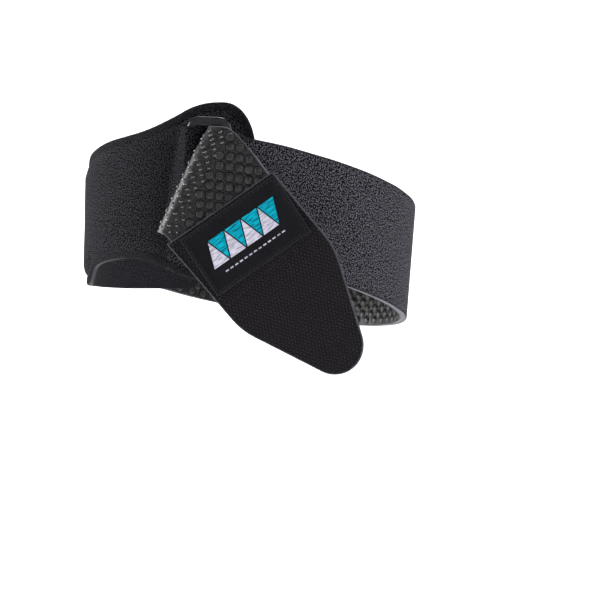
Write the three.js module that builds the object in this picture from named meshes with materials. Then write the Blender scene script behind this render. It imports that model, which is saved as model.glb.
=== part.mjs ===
// A strap that presses on the iliotibial band, as it sits on a leg just above the knee.
// A shaped foam pad lies over the front and one side of the thigh. An elastic belt is sewn to the
// pad's rear end, goes round the back of the leg, through a ring on the pad, and folds back over
// itself. Its end carries a fastening tab with a sewn label, which is shown pulled away from the leg.
// Millimetres. +Z runs up the leg, the front of the leg faces -Y, and the origin is on the leg's axis.
import * as THREE from "three";

// Leg that the strap is worn on. Taper and lean are mm for each mm up the leg.
const LEG_RADIUS = 61;
const LEG_TAPER = 0.03;
const LEG_LEAN = 0.05;

// Pad: angles are degrees of turn round the leg, from its front, positive towards +X.
const PAD_HEIGHT = 67;
const PAD_THICKNESS = 4;
const PAD_FRONT_TURN = 1.3;
const PAD_REAR_TURN = -160;
const RIM_WIDTH = 3.5;
const RIM_THICKNESS = 2.6;
const FRONT_CORNER_LENGTH = 13;
const REAR_CORNER_LENGTH = 6;

// Belt: its line round the leg falls by BELT_ROLL to the right and rises by BELT_PITCH to the front.
const BELT_WIDTH = 43;
const BELT_THICKNESS = 2.5;
const BELT_ROLL = 13.4;
const BELT_PITCH = 9.8;
const BELT_OVERLAP_TURN = 17;
const BELT_STEP_TURN = 13;
const BELT_STEP_MARGIN = 2;

// Ring and the fabric keeper that holds it to the pad.
const RING_TURN = -13;
const RING_HEIGHT = 13.1;
const RING_WIDTH = 17;
const RING_BAR = 3.6;
const RING_THICKNESS = 2.6;
const RING_CORNER = 5;
const RING_BEVEL = 0.7;
const RING_SLACK = 3.3;
const KEEPER_THICKNESS = 1.5;
const KEEPER_WIDTH = 38;
const KEEPER_RAISE = 2.5;
const KEEPER_FLANGE = 2;
const KEEPER_SLACK = 4.5;

// Flap, the folded-back end of the belt, with the tab and the label that are sewn to it.
const FLAP_ANGLE = 46;
const FLAP_CLEARANCE = 0.65;
const FLAP_BEND_RADIUS = 300;
const FLAP_TWIST = 2.3;
const FLAP_TWIST_LENGTH = 60;
const FLAP_SWAY = 0.9;
const FLAP_SWAY_LENGTH = 46;
const FLAP_BELT_END = 37;
const TAB_WIDTH = 46.5;
const TAB_THICKNESS = 1.5;
const TAB_START = 10.2;
const TAB_TAPER_START = 48.5;
const TAB_TAPER_ANGLE = 23.7;
const TAB_TIP_RADIUS = 11;
const LABEL_WIDTH = 42;
const LABEL_HEIGHT = 24.5;
const LABEL_THICKNESS = 0.7;
const LABEL_INSET = 1.6;
const LABEL_OFFSET = 0.9;
const LABEL_SKEW = 7;

// Clearance between pieces that touch, and facets.
const GAP = 0.3;
const PAD_STEPS = 60;
const RIM_COLUMNS = [0, 0.5, 1, 1.35];
const PAD_MIDDLE_COLUMNS = 6;
const BELT_COLUMNS = 10;
const BELT_STATIONS = { round: 22, flap: 4 };
const BELT_FACETS = { round: 2, bar: 3, fold: 4, fan: 3, flap: 2 };
const TAB_COLUMNS = 8;
const TAB_ROWS = { straight: 4, taper: 7, tip: 7 };
const TAB_TIP_SWING = 86;
const LABEL_FACETS = { rows: 6, columns: 8 };

// Upper and lower edge of the pad. along is a share of the pad's length from its end under the
// ring, and top and bottom are shares of PAD_HEIGHT above the origin.
const PAD_OUTLINE = [
  { along: 0, top: 0.675, bottom: -0.326 },
  { along: 0.058, top: 0.678, bottom: -0.324 },
  { along: 0.095, top: 0.678, bottom: -0.314 },
  { along: 0.12, top: 0.668, bottom: -0.3 },
  { along: 0.144, top: 0.648, bottom: -0.28 },
  { along: 0.172, top: 0.612, bottom: -0.256 },
  { along: 0.2, top: 0.58, bottom: -0.226 },
  { along: 0.231, top: 0.55, bottom: -0.2 },
  { along: 0.268, top: 0.525, bottom: -0.184 },
  { along: 0.312, top: 0.506, bottom: -0.181 },
  { along: 0.361, top: 0.49, bottom: -0.189 },
  { along: 0.411, top: 0.469, bottom: -0.204 },
  { along: 0.448, top: 0.451, bottom: -0.228 },
  { along: 0.473, top: 0.439, bottom: -0.272 },
  { along: 0.495, top: 0.427, bottom: -0.31 },
  { along: 0.523, top: 0.406, bottom: -0.325 },
  { along: 0.566, top: 0.366, bottom: -0.33 },
  { along: 0.628, top: 0.33, bottom: -0.332 },
  { along: 0.702, top: 0.315, bottom: -0.338 },
  { along: 0.802, top: 0.318, bottom: -0.344 },
  { along: 0.913, top: 0.335, bottom: -0.344 },
  { along: 1, top: 0.33, bottom: -0.35 },
];

// Points of the keeper's ridge, where it leaves the pad and climbs to the bar. across is a share of
// the way from its foot to the bar, and rise is a share of its height there.
const KEEPER_RIDGE = {
  waist: { across: 0.22, rise: 0.4 },
  shoulder: { across: 0.7, rise: 0.82 },
  inside: { across: 0.72, rise: 0.45 },
};
const KEEPER_TAIL_THICKNESS = 0.9;

// Vertical reach of the pad's rounded corners, as shares of PAD_HEIGHT.
const FRONT_CORNER_RISE = { top: 0.29, bottom: 0.24 };
const REAR_CORNER_RISE = { top: 0.08, bottom: 0.08 };

// Fold of the belt in the ring: one row for each lengthwise fibre, from the belt's top edge to its
// bottom edge. across is a share of half the ring's width, to the right of its middle, and out is a
// share of the height of a belt that lies over the keeper. The belt comes up through the slot,
// goes left, turns at the crease and comes back to the right.
const FOLD_FIBRES = [
  {
    slot: { across: 0.3, out: 0.26 },
    rise: { across: 0.135, out: 0.46 },
    over: { across: 0.118, out: 0.57 },
    lower: { across: 0.124, out: 0.68 },
    crease: { across: 0.2, out: 0.81 },
    upper: { across: 0.42, out: 0.92 },
  },
  {
    slot: { across: 0.22, out: 0.3 },
    rise: { across: 0.01, out: 0.55 },
    over: { across: -0.15, out: 0.79 },
    lower: { across: -0.27, out: 0.95 },
    crease: { across: -0.34, out: 1.13 },
    upper: { across: -0.14, out: 1.33 },
  },
  {
    slot: { across: 0.18, out: 0.33 },
    rise: { across: -0.07, out: 0.62 },
    over: { across: -0.29, out: 0.89 },
    lower: { across: -0.59, out: 1.07 },
    crease: { across: -0.82, out: 1.28 },
    upper: { across: -0.58, out: 1.5 },
  },
  {
    slot: { across: 0.165, out: 0.34 },
    rise: { across: -0.105, out: 0.66 },
    over: { across: -0.42, out: 0.985 },
    lower: { across: -0.96, out: 1.1 },
    crease: { across: -1.31, out: 1.32 },
    upper: { across: -1.05, out: 1.54 },
  },
  {
    slot: { across: 0.153, out: 0.35 },
    rise: { across: -0.13, out: 0.685 },
    over: { across: -0.53, out: 1.03 },
    lower: { across: -1.41, out: 1.1 },
    crease: { across: -1.79, out: 1.32 },
    upper: { across: -1.53, out: 1.55 },
  },
];

// Place of the belt's two edges along the ring at each point of the fold, as shares of BELT_WIDTH.
const FOLD_EDGES = {
  slot: { top: 0.506, bottom: -0.483 },
  rise: { top: 0.513, bottom: -0.474 },
  over: { top: 0.52, bottom: -0.455 },
  lower: { top: 0.527, bottom: -0.414 },
  crease: { top: 0.531, bottom: -0.391 },
  upper: { top: 0.529, bottom: -0.398 },
};

// Where the flap leaves the crease, as shares of BELT_WIDTH in the flap's own directions:
// along is down the flap and side is towards its upper edge.
const FLAP_FAN = [
  { topAlong: -0.24, topSide: 0.483, bottomAlong: 0.12, bottomSide: -0.51, settled: 0.25 },
  { topAlong: -0.04, topSide: 0.508, bottomAlong: 0.19, bottomSide: -0.505, settled: 0.7 },
];

const radians = THREE.MathUtils.degToRad;
const { lerp, smoothstep } = THREE.MathUtils;

// Point of the leg's surface, or out mm off it.
function onLeg(turn, height, out) {
  const radius = LEG_RADIUS + LEG_TAPER * height + out;
  return new THREE.Vector3(
    LEG_LEAN * height + radius * Math.sin(radians(turn)),
    -radius * Math.cos(radians(turn)),
    height,
  );
}

// Closed body between two grids of points, each a list of rows. All faces point outwards.
function bodyBetween(inner, outer) {
  const rows = inner.length;
  const columns = inner[0].length;
  const positions = [...inner, ...outer].flat().flatMap((point) => point.toArray());
  const at = (side, row, column) => (side * rows + row) * columns + column;
  const triangles = [];
  const quad = (a, b, c, d) => triangles.push(a, b, c, a, c, d);
  for (let i = 0; i < rows - 1; i++)
    for (let j = 0; j < columns - 1; j++) {
      quad(at(1, i, j), at(1, i, j + 1), at(1, i + 1, j + 1), at(1, i + 1, j));
      quad(at(0, i, j), at(0, i + 1, j), at(0, i + 1, j + 1), at(0, i, j + 1));
    }
  for (let i = 0; i < rows - 1; i++) {
    quad(at(0, i, 0), at(1, i, 0), at(1, i + 1, 0), at(0, i + 1, 0));
    const last = columns - 1;
    quad(at(0, i, last), at(0, i + 1, last), at(1, i + 1, last), at(1, i, last));
  }
  for (let j = 0; j < columns - 1; j++) {
    quad(at(0, 0, j), at(0, 0, j + 1), at(1, 0, j + 1), at(1, 0, j));
    const last = rows - 1;
    quad(at(0, last, j), at(1, last, j), at(1, last, j + 1), at(0, last, j + 1));
  }
  return closed(positions, triangles);
}

// Geometry from points and triangles, turned so that its volume is positive.
function closed(positions, triangles) {
  const corner = (index) => new THREE.Vector3().fromArray(positions, 3 * index);
  let volume = 0;
  for (let k = 0; k < triangles.length; k += 3) {
    const [a, b, c] = triangles.slice(k, k + 3).map(corner);
    volume += a.dot(b.cross(c));
  }
  if (volume < 0) triangles.reverse();
  const geometry = new THREE.BufferGeometry();
  geometry.setAttribute("position", new THREE.Float32BufferAttribute(positions, 3));
  geometry.setIndex(triangles);
  geometry.computeVertexNormals();
  return geometry;
}

// Body of one thickness about a grid of points in its middle.
function bodyAbout(middle, thickness) {
  const clampRow = (i) => middle[THREE.MathUtils.clamp(i, 0, middle.length - 1)];
  const offset = (side) =>
    middle.map((row, i) =>
      row.map((point, j) => {
        const along = new THREE.Vector3().subVectors(clampRow(i + 1)[j], clampRow(i - 1)[j]);
        const next = row[Math.min(j + 1, row.length - 1)];
        const across = new THREE.Vector3().subVectors(next, row[Math.max(j - 1, 0)]);
        const normal = along.cross(across).normalize();
        return point.clone().addScaledVector(normal, (side * thickness) / 2);
      }),
    );
  return bodyBetween(offset(-1), offset(1));
}

// Pad's top or bottom at a share of its length, on a smooth curve through the table's rows.
function outlineAt(along, side) {
  const rows = PAD_OUTLINE;
  const k = Math.max(1, rows.findIndex((row) => row.along >= along));
  const [before, low, high, after] = [k - 2, k - 1, k, k + 1].map(
    (i) => rows[THREE.MathUtils.clamp(i, 0, rows.length - 1)],
  );
  const slope = (p, q) => (q[side] - p[side]) / (q.along - p.along);
  const span = high.along - low.along;
  const s = (along - low.along) / span;
  const startSlope = slope(before, high) * span;
  const endSlope = slope(low, after) * span;
  return (
    low[side] * (2 * s ** 3 - 3 * s ** 2 + 1) +
    startSlope * (s ** 3 - 2 * s ** 2 + s) +
    high[side] * (3 * s ** 2 - 2 * s ** 3) +
    endSlope * (s ** 3 - s ** 2)
  );
}

// Length along the pad's outer face for one degree of turn.
const PAD_MM_PER_DEGREE = radians(1) * (LEG_RADIUS + PAD_THICKNESS);

// How much a rounded corner takes off an edge, at a distance from the pad's end.
function cornerInset(distance, length, rise) {
  const share = THREE.MathUtils.clamp(1 - distance / length, 0, 1);
  return rise * PAD_HEIGHT * (1 - Math.sqrt(1 - share ** 2));
}

// Height of the pad's top or bottom edge at a turn.
function padEdge(turn, side) {
  const along = (PAD_FRONT_TURN - turn) / (PAD_FRONT_TURN - PAD_REAR_TURN);
  const fromFront = (PAD_FRONT_TURN - turn) * PAD_MM_PER_DEGREE;
  const fromRear = (turn - PAD_REAR_TURN) * PAD_MM_PER_DEGREE;
  const inset =
    cornerInset(fromFront, FRONT_CORNER_LENGTH, FRONT_CORNER_RISE[side]) +
    cornerInset(fromRear, REAR_CORNER_LENGTH, REAR_CORNER_RISE[side]);
  const inward = side === "top" ? -1 : 1;
  return outlineAt(THREE.MathUtils.clamp(along, 0, 1), side) * PAD_HEIGHT + inward * inset;
}

// Turns of the pad's sections: close together in its rounded corners, even between them.
function padTurns() {
  const corner = (length, steps) =>
    Array.from({ length: steps }, (_, i) => {
      const swing = radians((90 * i) / steps);
      return (length * (1 - Math.cos(swing))) / PAD_MM_PER_DEGREE;
    });
  const front = corner(FRONT_CORNER_LENGTH, 9).map((d) => PAD_FRONT_TURN - d);
  const rear = corner(REAR_CORNER_LENGTH, 4).map((d) => PAD_REAR_TURN + d);
  const start = PAD_FRONT_TURN - FRONT_CORNER_LENGTH / PAD_MM_PER_DEGREE;
  const end = PAD_REAR_TURN + REAR_CORNER_LENGTH / PAD_MM_PER_DEGREE;
  const steps = PAD_STEPS - front.length - rear.length;
  const middle = Array.from({ length: steps + 1 }, (_, i) => lerp(start, end, i / steps));
  return [...front, ...middle, ...rear.reverse()];
}

// Pad: its inner face lies on the leg, and its edges are pressed thinner all round.
function padGeometry() {
  const inner = [];
  const outer = [];
  for (const turn of padTurns()) {
    const top = padEdge(turn, "top");
    const bottom = padEdge(turn, "bottom");
    const rims = RIM_COLUMNS.map((share) => share * RIM_WIDTH);
    const middle = Array.from({ length: PAD_MIDDLE_COLUMNS - 1 }, (_, j) =>
      lerp(top - rims.at(-1), bottom + rims.at(-1), (j + 1) / PAD_MIDDLE_COLUMNS),
    );
    const heights = [
      ...rims.map((d) => top - d),
      ...middle,
      ...rims.map((d) => bottom + d).reverse(),
    ];
    const fromEnd = Math.min(PAD_FRONT_TURN - turn, turn - PAD_REAR_TURN) * PAD_MM_PER_DEGREE;
    const thicknessAt = (height) => {
      const fromEdge = Math.min(top - height, height - bottom, fromEnd);
      const pressed = 1 - smoothstep(fromEdge, RIM_WIDTH, RIM_WIDTH * RIM_COLUMNS.at(-1));
      return lerp(PAD_THICKNESS, RIM_THICKNESS, pressed);
    };
    inner.push(heights.map((height) => onLeg(turn, height, 0)));
    outer.push(heights.map((height) => onLeg(turn, height, thicknessAt(height))));
  }
  return bodyBetween(inner, outer);
}

// Frame of the ring: X across the ring to the right, Y up along it, Z out from the pad.
function ringFrame() {
  const origin = onLeg(RING_TURN, RING_HEIGHT, PAD_THICKNESS);
  const upper = onLeg(RING_TURN, RING_HEIGHT + 1, PAD_THICKNESS);
  const up = upper.sub(origin).normalize();
  const turn = radians(RING_TURN);
  const right = new THREE.Vector3(Math.cos(turn), Math.sin(turn), 0);
  right.addScaledVector(up, -right.dot(up)).normalize();
  const out = new THREE.Vector3().crossVectors(right, up);
  return new THREE.Matrix4().makeBasis(right, up, out).setPosition(origin);
}

// Heights above the pad, in the ring's frame, of what is stacked there.
function padSurface(across) {
  const radius = LEG_RADIUS + PAD_THICKNESS;
  return Math.sqrt(radius ** 2 - across ** 2) - radius;
}
const BELT_UNDER_BAR = GAP + BELT_THICKNESS / 2;
const RING_BASE = 2 * GAP + BELT_THICKNESS;
const RING_TOP = RING_BASE + RING_THICKNESS;
const KEEPER_TOP = RING_TOP + GAP + KEEPER_THICKNESS;
const BELT_OVER_KEEPER = KEEPER_TOP + GAP + BELT_THICKNESS / 2;
const RING_LENGTH = BELT_WIDTH + RING_SLACK + 2 * RING_BAR;
const FLAP_LIFT = BELT_OVER_KEEPER + BELT_THICKNESS + FLAP_CLEARANCE;

function roundedRectangle(shape, halfWidth, halfLength, radius) {
  const [x, y, quarter] = [halfWidth - radius, halfLength - radius, Math.PI / 2];
  shape.absarc(x, y, radius, 0, quarter, false);
  shape.absarc(-x, y, radius, quarter, 2 * quarter, false);
  shape.absarc(-x, -y, radius, 2 * quarter, 3 * quarter, false);
  shape.absarc(x, -y, radius, 3 * quarter, 4 * quarter, false);
  shape.closePath();
  return shape;
}

// Ring: a flat moulded loop with a rounded section and one long slot.
function ringGeometry() {
  const [halfWidth, halfLength] = [RING_WIDTH / 2, RING_LENGTH / 2];
  const outline = roundedRectangle(
    new THREE.Shape(),
    halfWidth - RING_BEVEL,
    halfLength - RING_BEVEL,
    RING_CORNER - RING_BEVEL,
  );
  const slotWall = RING_BAR - RING_BEVEL;
  const slotCorner = RING_CORNER - RING_BAR + RING_BEVEL;
  outline.holes.push(
    roundedRectangle(new THREE.Path(), halfWidth - slotWall, halfLength - slotWall, slotCorner),
  );
  const geometry = new THREE.ExtrudeGeometry(outline, {
    depth: RING_THICKNESS - 2 * RING_BEVEL,
    bevelThickness: RING_BEVEL,
    bevelSize: RING_BEVEL,
    bevelSegments: 2,
    curveSegments: 6,
  });
  return geometry.translate(0, 0, RING_BASE + RING_BEVEL);
}

// Section of the keeper at a height along the ring: a loop round the ring's left bar that narrows
// to a flange on the pad. Its slack grows towards the lower end.
function keeperSection(along) {
  const slack = KEEPER_SLACK * (0.5 - (along - KEEPER_RAISE) / KEEPER_WIDTH);
  const bar = { left: -RING_WIDTH / 2, right: -RING_WIDTH / 2 + RING_BAR };
  const right = bar.right + GAP + KEEPER_THICKNESS;
  const round = KEEPER_THICKNESS + RING_BEVEL + GAP;
  const base = (across) => padSurface(across) + GAP;
  const foot = bar.left - 2 * KEEPER_THICKNESS - slack;
  const arc = (x, y, radius, from, to, steps) =>
    Array.from({ length: steps + 1 }, (_, i) => {
      const angle = radians(lerp(from, to, i / steps));
      return [x + radius * Math.cos(angle), y + radius * Math.sin(angle)];
    });
  const low = base(right - round) + round;
  const inside = round - KEEPER_THICKNESS;
  const ridge = ({ across, rise }) => [
    lerp(foot, bar.left, across),
    lerp(base(foot), KEEPER_TOP, rise),
  ];
  const innerFoot = ridge(KEEPER_RIDGE.inside);
  const end = foot - KEEPER_FLANGE;
  const outer = [
    [end, base(end)],
    [foot, base(foot)],
    [bar.left, base(bar.left)],
    ...arc(right - round, low, round, -90, 0, 4),
    ...arc(right - round, KEEPER_TOP - round, round, 0, 90, 4),
    [bar.left, KEEPER_TOP],
    ridge(KEEPER_RIDGE.shoulder),
    ridge(KEEPER_RIDGE.waist),
    [foot, base(foot) + KEEPER_THICKNESS],
    [end, base(end) + KEEPER_TAIL_THICKNESS],
  ];
  const inner = [
    [innerFoot[0], base(innerFoot[0]) + KEEPER_THICKNESS],
    [bar.left, base(bar.left) + KEEPER_THICKNESS],
    ...arc(right - round, low, inside, -90, 0, 4),
    ...arc(right - round, KEEPER_TOP - round, inside, 0, 90, 4),
    [bar.left, KEEPER_TOP - KEEPER_THICKNESS],
    innerFoot,
  ];
  const place = ([across, out]) => new THREE.Vector3(across, along, out);
  return { outer: outer.map(place), inner: inner.map(place) };
}

// Keeper: the loop of fabric lofted along the ring's left bar.
function keeperGeometry() {
  const stations = [-0.5, 0, 0.5].map((share) =>
    keeperSection(KEEPER_RAISE + share * KEEPER_WIDTH),
  );
  const positions = [];
  const starts = stations.map(({ outer, inner }) => {
    const start = positions.length / 3;
    positions.push(...[...outer, ...inner].flatMap((point) => point.toArray()));
    return { outer: start, inner: start + outer.length };
  });
  const outerCount = stations[0].outer.length;
  const innerCount = stations[0].inner.length;
  const triangles = [];
  const wall = (ring, count, k, outward) => {
    for (let i = 0; i < count; i++) {
      const next = (i + 1) % count;
      const [a, b] = [starts[k][ring] + i, starts[k][ring] + next];
      const [c, d] = [starts[k + 1][ring] + i, starts[k + 1][ring] + next];
      triangles.push(...(outward ? [a, d, b, a, c, d] : [a, b, d, a, d, c]));
    }
  };
  for (let k = 0; k < stations.length - 1; k++) {
    wall("outer", outerCount, k, true);
    wall("inner", innerCount, k, false);
  }
  const flat = (points) => points.map((point) => new THREE.Vector2(point.x, point.z));
  const cap = (k, outward) => {
    const { outer, inner } = stations[k];
    const faces = THREE.ShapeUtils.triangulateShape(flat(outer), [flat(inner)]);
    for (const [a, b, c] of faces) {
      const face = [a, b, c].map((i) => starts[k].outer + i);
      triangles.push(...(outward ? face : face.reverse()));
    }
  };
  cap(0, true);
  cap(stations.length - 1, false);
  return closed(positions, triangles);
}

// Height of the belt's middle line at a turn, and its slope.
function beltLine(turn) {
  return -BELT_ROLL * Math.sin(radians(turn)) + BELT_PITCH * Math.cos(radians(turn));
}
function beltSlope(turn) {
  const fall = -BELT_ROLL * Math.cos(radians(turn)) - BELT_PITCH * Math.sin(radians(turn));
  return fall / (LEG_RADIUS + PAD_THICKNESS);
}

// How far the belt's middle stands off the leg at a turn: over the pad at both of its ends.
function beltStandoff(turn) {
  const onSkin = BELT_THICKNESS / 2;
  const onPad = PAD_THICKNESS + GAP + BELT_THICKNESS / 2;
  const rear = PAD_REAR_TURN + 360;
  const front = PAD_FRONT_TURN;
  const overFront = 1 - smoothstep(turn, front + BELT_STEP_MARGIN, front + BELT_STEP_TURN);
  const overRear = smoothstep(turn, rear - BELT_STEP_TURN, rear - BELT_STEP_MARGIN);
  return lerp(onSkin, onPad, Math.max(overFront, overRear));
}

// Point of the belt's middle surface where it goes round the leg. share is 0 at its top edge.
function beltRound(turn, share) {
  const height = BELT_WIDTH * Math.hypot(1, beltSlope(turn));
  return onLeg(turn, beltLine(turn) + height * (0.5 - share), beltStandoff(turn));
}

// Point of the belt's middle surface in the fold, in the ring's frame.
function foldPoint(name, share) {
  const place = share * (FOLD_FIBRES.length - 1);
  const points = FOLD_FIBRES.map((fibre) => {
    const { across, out } = fibre[name];
    return new THREE.Vector3((across * RING_WIDTH) / 2, 0, out * BELT_OVER_KEEPER);
  });
  const point = new THREE.CatmullRomCurve3(points).getPoint(place / (points.length - 1));
  const edges = FOLD_EDGES[name];
  point.y = lerp(edges.top, edges.bottom, share) * BELT_WIDTH;
  return point;
}

// Point of the flap, in the ring's frame: along runs down the flap from the ring's middle, side is
// towards its upper edge, and lift is the height above the middle of the belt.
function flapPoint(along, straightSide, lift) {
  const angle = radians(FLAP_ANGLE);
  const side = straightSide + FLAP_SWAY * (1 - (along / FLAP_SWAY_LENGTH) ** 2);
  const twist = Math.max(0, 1 - along / FLAP_TWIST_LENGTH) ** 2;
  const out =
    FLAP_LIFT -
    Math.max(0, along) ** 2 / (2 * FLAP_BEND_RADIUS) -
    (side / BELT_WIDTH) * 2 * FLAP_TWIST * Math.min(1, twist);
  return new THREE.Vector3(
    along * Math.cos(angle) + side * Math.sin(angle),
    -along * Math.sin(angle) + side * Math.cos(angle),
    out + lift,
  );
}

// Point of the flap where it fans out from the crease. It settles from the fold into its own plane.
function fanPoint(row, share) {
  const along = lerp(row.topAlong, row.bottomAlong, share) * BELT_WIDTH;
  const side = lerp(row.topSide, row.bottomSide, share) * BELT_WIDTH;
  const point = flapPoint(along, side, 0);
  point.z = lerp(foldPoint("upper", share).z, point.z, row.settled);
  return point;
}

// Fibre of the belt: a curve from the rear seam round the leg, through the ring and down the flap.
function beltFibre(share, toWorld) {
  const stations = [];
  const add = (point, steps) => stations.push({ point, steps });
  const start = PAD_REAR_TURN + 360 + BELT_OVERLAP_TURN;
  const end = PAD_FRONT_TURN - BELT_STEP_MARGIN;
  for (let i = 0; i <= BELT_STATIONS.round; i++)
    add(beltRound(lerp(start, end, i / BELT_STATIONS.round), share), BELT_FACETS.round);
  const underBar = (RING_WIDTH - RING_BAR) / 2;
  const bar = new THREE.Vector3(
    underBar,
    lerp(FOLD_EDGES.slot.top, FOLD_EDGES.slot.bottom, share) * BELT_WIDTH,
    padSurface(underBar) + BELT_UNDER_BAR,
  );
  add(bar.applyMatrix4(toWorld), BELT_FACETS.bar);
  for (const name of Object.keys(FOLD_EDGES))
    add(foldPoint(name, share).applyMatrix4(toWorld), BELT_FACETS.fold);
  for (const row of FLAP_FAN) add(fanPoint(row, share).applyMatrix4(toWorld), BELT_FACETS.fan);
  for (let i = 0; i <= BELT_STATIONS.flap; i++) {
    const along = lerp(TAB_START, FLAP_BELT_END, i / BELT_STATIONS.flap);
    const point = flapPoint(along, (0.5 - share) * BELT_WIDTH, 0);
    add(point.applyMatrix4(toWorld), BELT_FACETS.flap);
  }
  const curve = new THREE.CatmullRomCurve3(stations.map(({ point }) => point));
  const last = stations.length - 1;
  const points = [];
  for (let k = 0; k < last; k++)
    for (let i = 0; i < stations[k].steps; i++)
      points.push(curve.getPoint((k + i / stations[k].steps) / last));
  points.push(curve.getPoint(1));
  return points;
}

// Belt: fibres side by side from its top edge to its bottom edge.
function beltGeometry(toWorld) {
  const fibres = Array.from({ length: BELT_COLUMNS + 1 }, (_, j) =>
    beltFibre(j / BELT_COLUMNS, toWorld),
  );
  const grid = fibres[0].map((_, i) => fibres.map((fibre) => fibre[i]));
  return bodyAbout(grid, BELT_THICKNESS);
}

// Tab outline: where its round tip is centred, its end, and half its width along the flap.
const TAB_TAPER = radians(TAB_TAPER_ANGLE);
const TAB_TIP_CENTRE =
  TAB_TAPER_START +
  (TAB_WIDTH / 2 - TAB_TIP_RADIUS / Math.cos(TAB_TAPER)) / Math.tan(TAB_TAPER);
const TAB_END = TAB_TIP_CENTRE + TAB_TIP_RADIUS;
function tabHalfWidth(along) {
  const tangent = TAB_TIP_CENTRE + TAB_TIP_RADIUS * Math.sin(TAB_TAPER);
  if (along > tangent)
    return Math.sqrt(Math.max(0, TAB_TIP_RADIUS ** 2 - (along - TAB_TIP_CENTRE) ** 2));
  const soft = TAB_TIP_RADIUS / 2;
  const past = THREE.MathUtils.clamp(along - TAB_TAPER_START + soft, 0, 2 * soft);
  const eased = past ** 2 / (4 * soft) + Math.max(0, along - TAB_TAPER_START - soft);
  return TAB_WIDTH / 2 - eased * Math.tan(TAB_TAPER);
}

// Tab: a stiff tape that is sewn over the end of the flap and tapers to a round tip.
function tabGeometry() {
  const lift = BELT_THICKNESS / 2 + GAP + TAB_THICKNESS / 2;
  const skew = Math.tan(radians(LABEL_SKEW));
  const stretch = (from, to, steps) =>
    Array.from({ length: steps }, (_, i) => lerp(from, to, (i + 1) / steps));
  const straight = stretch(TAB_START, TAB_TAPER_START, TAB_ROWS.straight);
  const taper = stretch(TAB_TAPER_START, TAB_TIP_CENTRE, TAB_ROWS.taper);
  const tip = stretch(0, TAB_TIP_SWING, TAB_ROWS.tip).map(
    (swing) => TAB_TIP_CENTRE + TAB_TIP_RADIUS * Math.sin(radians(swing)),
  );
  const grid = [TAB_START, ...straight, ...taper, ...tip].map((along) =>
    Array.from({ length: TAB_COLUMNS + 1 }, (_, j) => {
      const side = tabHalfWidth(along) * (1 - (2 * j) / TAB_COLUMNS);
      const skewed = 1 - smoothstep(along, TAB_START, TAB_TAPER_START);
      return flapPoint(along + skewed * skew * side, side, lift);
    }),
  );
  return bodyAbout(grid, TAB_THICKNESS);
}

// Label: a woven patch sewn on the tab, a little askew.
function labelGeometry() {
  const lift = BELT_THICKNESS / 2 + GAP + TAB_THICKNESS + GAP + LABEL_THICKNESS / 2;
  const skew = radians(LABEL_SKEW);
  const middle = TAB_START + LABEL_INSET + LABEL_HEIGHT / 2;
  const { rows, columns } = LABEL_FACETS;
  const grid = Array.from({ length: rows + 1 }, (_, i) =>
    Array.from({ length: columns + 1 }, (_, j) => {
      const down = (i / rows - 0.5) * LABEL_HEIGHT;
      const side = (0.5 - j / columns) * LABEL_WIDTH + LABEL_OFFSET;
      return flapPoint(
        middle + down * Math.cos(skew) + side * Math.sin(skew),
        side * Math.cos(skew) - down * Math.sin(skew),
        lift,
      );
    }),
  );
  return bodyAbout(grid, LABEL_THICKNESS);
}

function piece(name, geometry, color, roughness) {
  const material = new THREE.MeshStandardMaterial({ color, roughness, metalness: 0 });
  const mesh = new THREE.Mesh(geometry, material);
  mesh.name = name;
  return mesh;
}

const frame = ringFrame();
const buckle = new THREE.Group();
frame.decompose(buckle.position, buckle.quaternion, buckle.scale);
buckle.add(
  piece("ring", ringGeometry(), 0x141416, 0.3),
  piece("ring_keeper", keeperGeometry(), 0x1c1d20, 0.95),
  piece("hook_tab", tabGeometry(), 0x17161a, 0.8),
  piece("label", labelGeometry(), 0x101114, 0.6),
);

const strap = new THREE.Group();
strap.add(
  piece("pad", padGeometry(), 0x1c1d20, 0.95),
  piece("belt", beltGeometry(frame), 0x2a2b2f, 0.95),
  buckle,
);

export default strap;
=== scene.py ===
import math

import bmesh
import bpy
import numpy as np
from mathutils import Matrix, Vector


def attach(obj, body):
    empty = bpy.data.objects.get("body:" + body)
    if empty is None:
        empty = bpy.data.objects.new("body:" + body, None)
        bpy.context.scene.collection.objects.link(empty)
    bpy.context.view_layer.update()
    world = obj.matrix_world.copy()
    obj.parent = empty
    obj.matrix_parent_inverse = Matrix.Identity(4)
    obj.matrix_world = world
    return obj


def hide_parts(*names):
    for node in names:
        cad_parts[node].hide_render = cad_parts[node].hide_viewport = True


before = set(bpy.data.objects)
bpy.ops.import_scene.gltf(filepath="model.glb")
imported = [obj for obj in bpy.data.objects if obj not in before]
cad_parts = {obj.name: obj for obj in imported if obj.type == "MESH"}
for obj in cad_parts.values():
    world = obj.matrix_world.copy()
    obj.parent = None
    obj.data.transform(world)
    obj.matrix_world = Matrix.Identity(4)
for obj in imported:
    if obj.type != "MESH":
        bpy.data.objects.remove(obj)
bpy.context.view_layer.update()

MM = 0.001

# Camera: a long lens, straight in front of the strap and level with it.
CAMERA_LENS = 184.6
CAMERA_PLACE = (0.01911, -1.2, -0.02769)
lens = bpy.data.cameras.new("camera")
lens.lens = CAMERA_LENS
lens.sensor_width = 36
camera = bpy.data.objects.new("camera", lens)
camera.location = CAMERA_PLACE
camera.rotation_euler = (math.radians(90), 0, 0)
bpy.context.scene.collection.objects.link(camera)
bpy.context.scene.camera = camera

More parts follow.
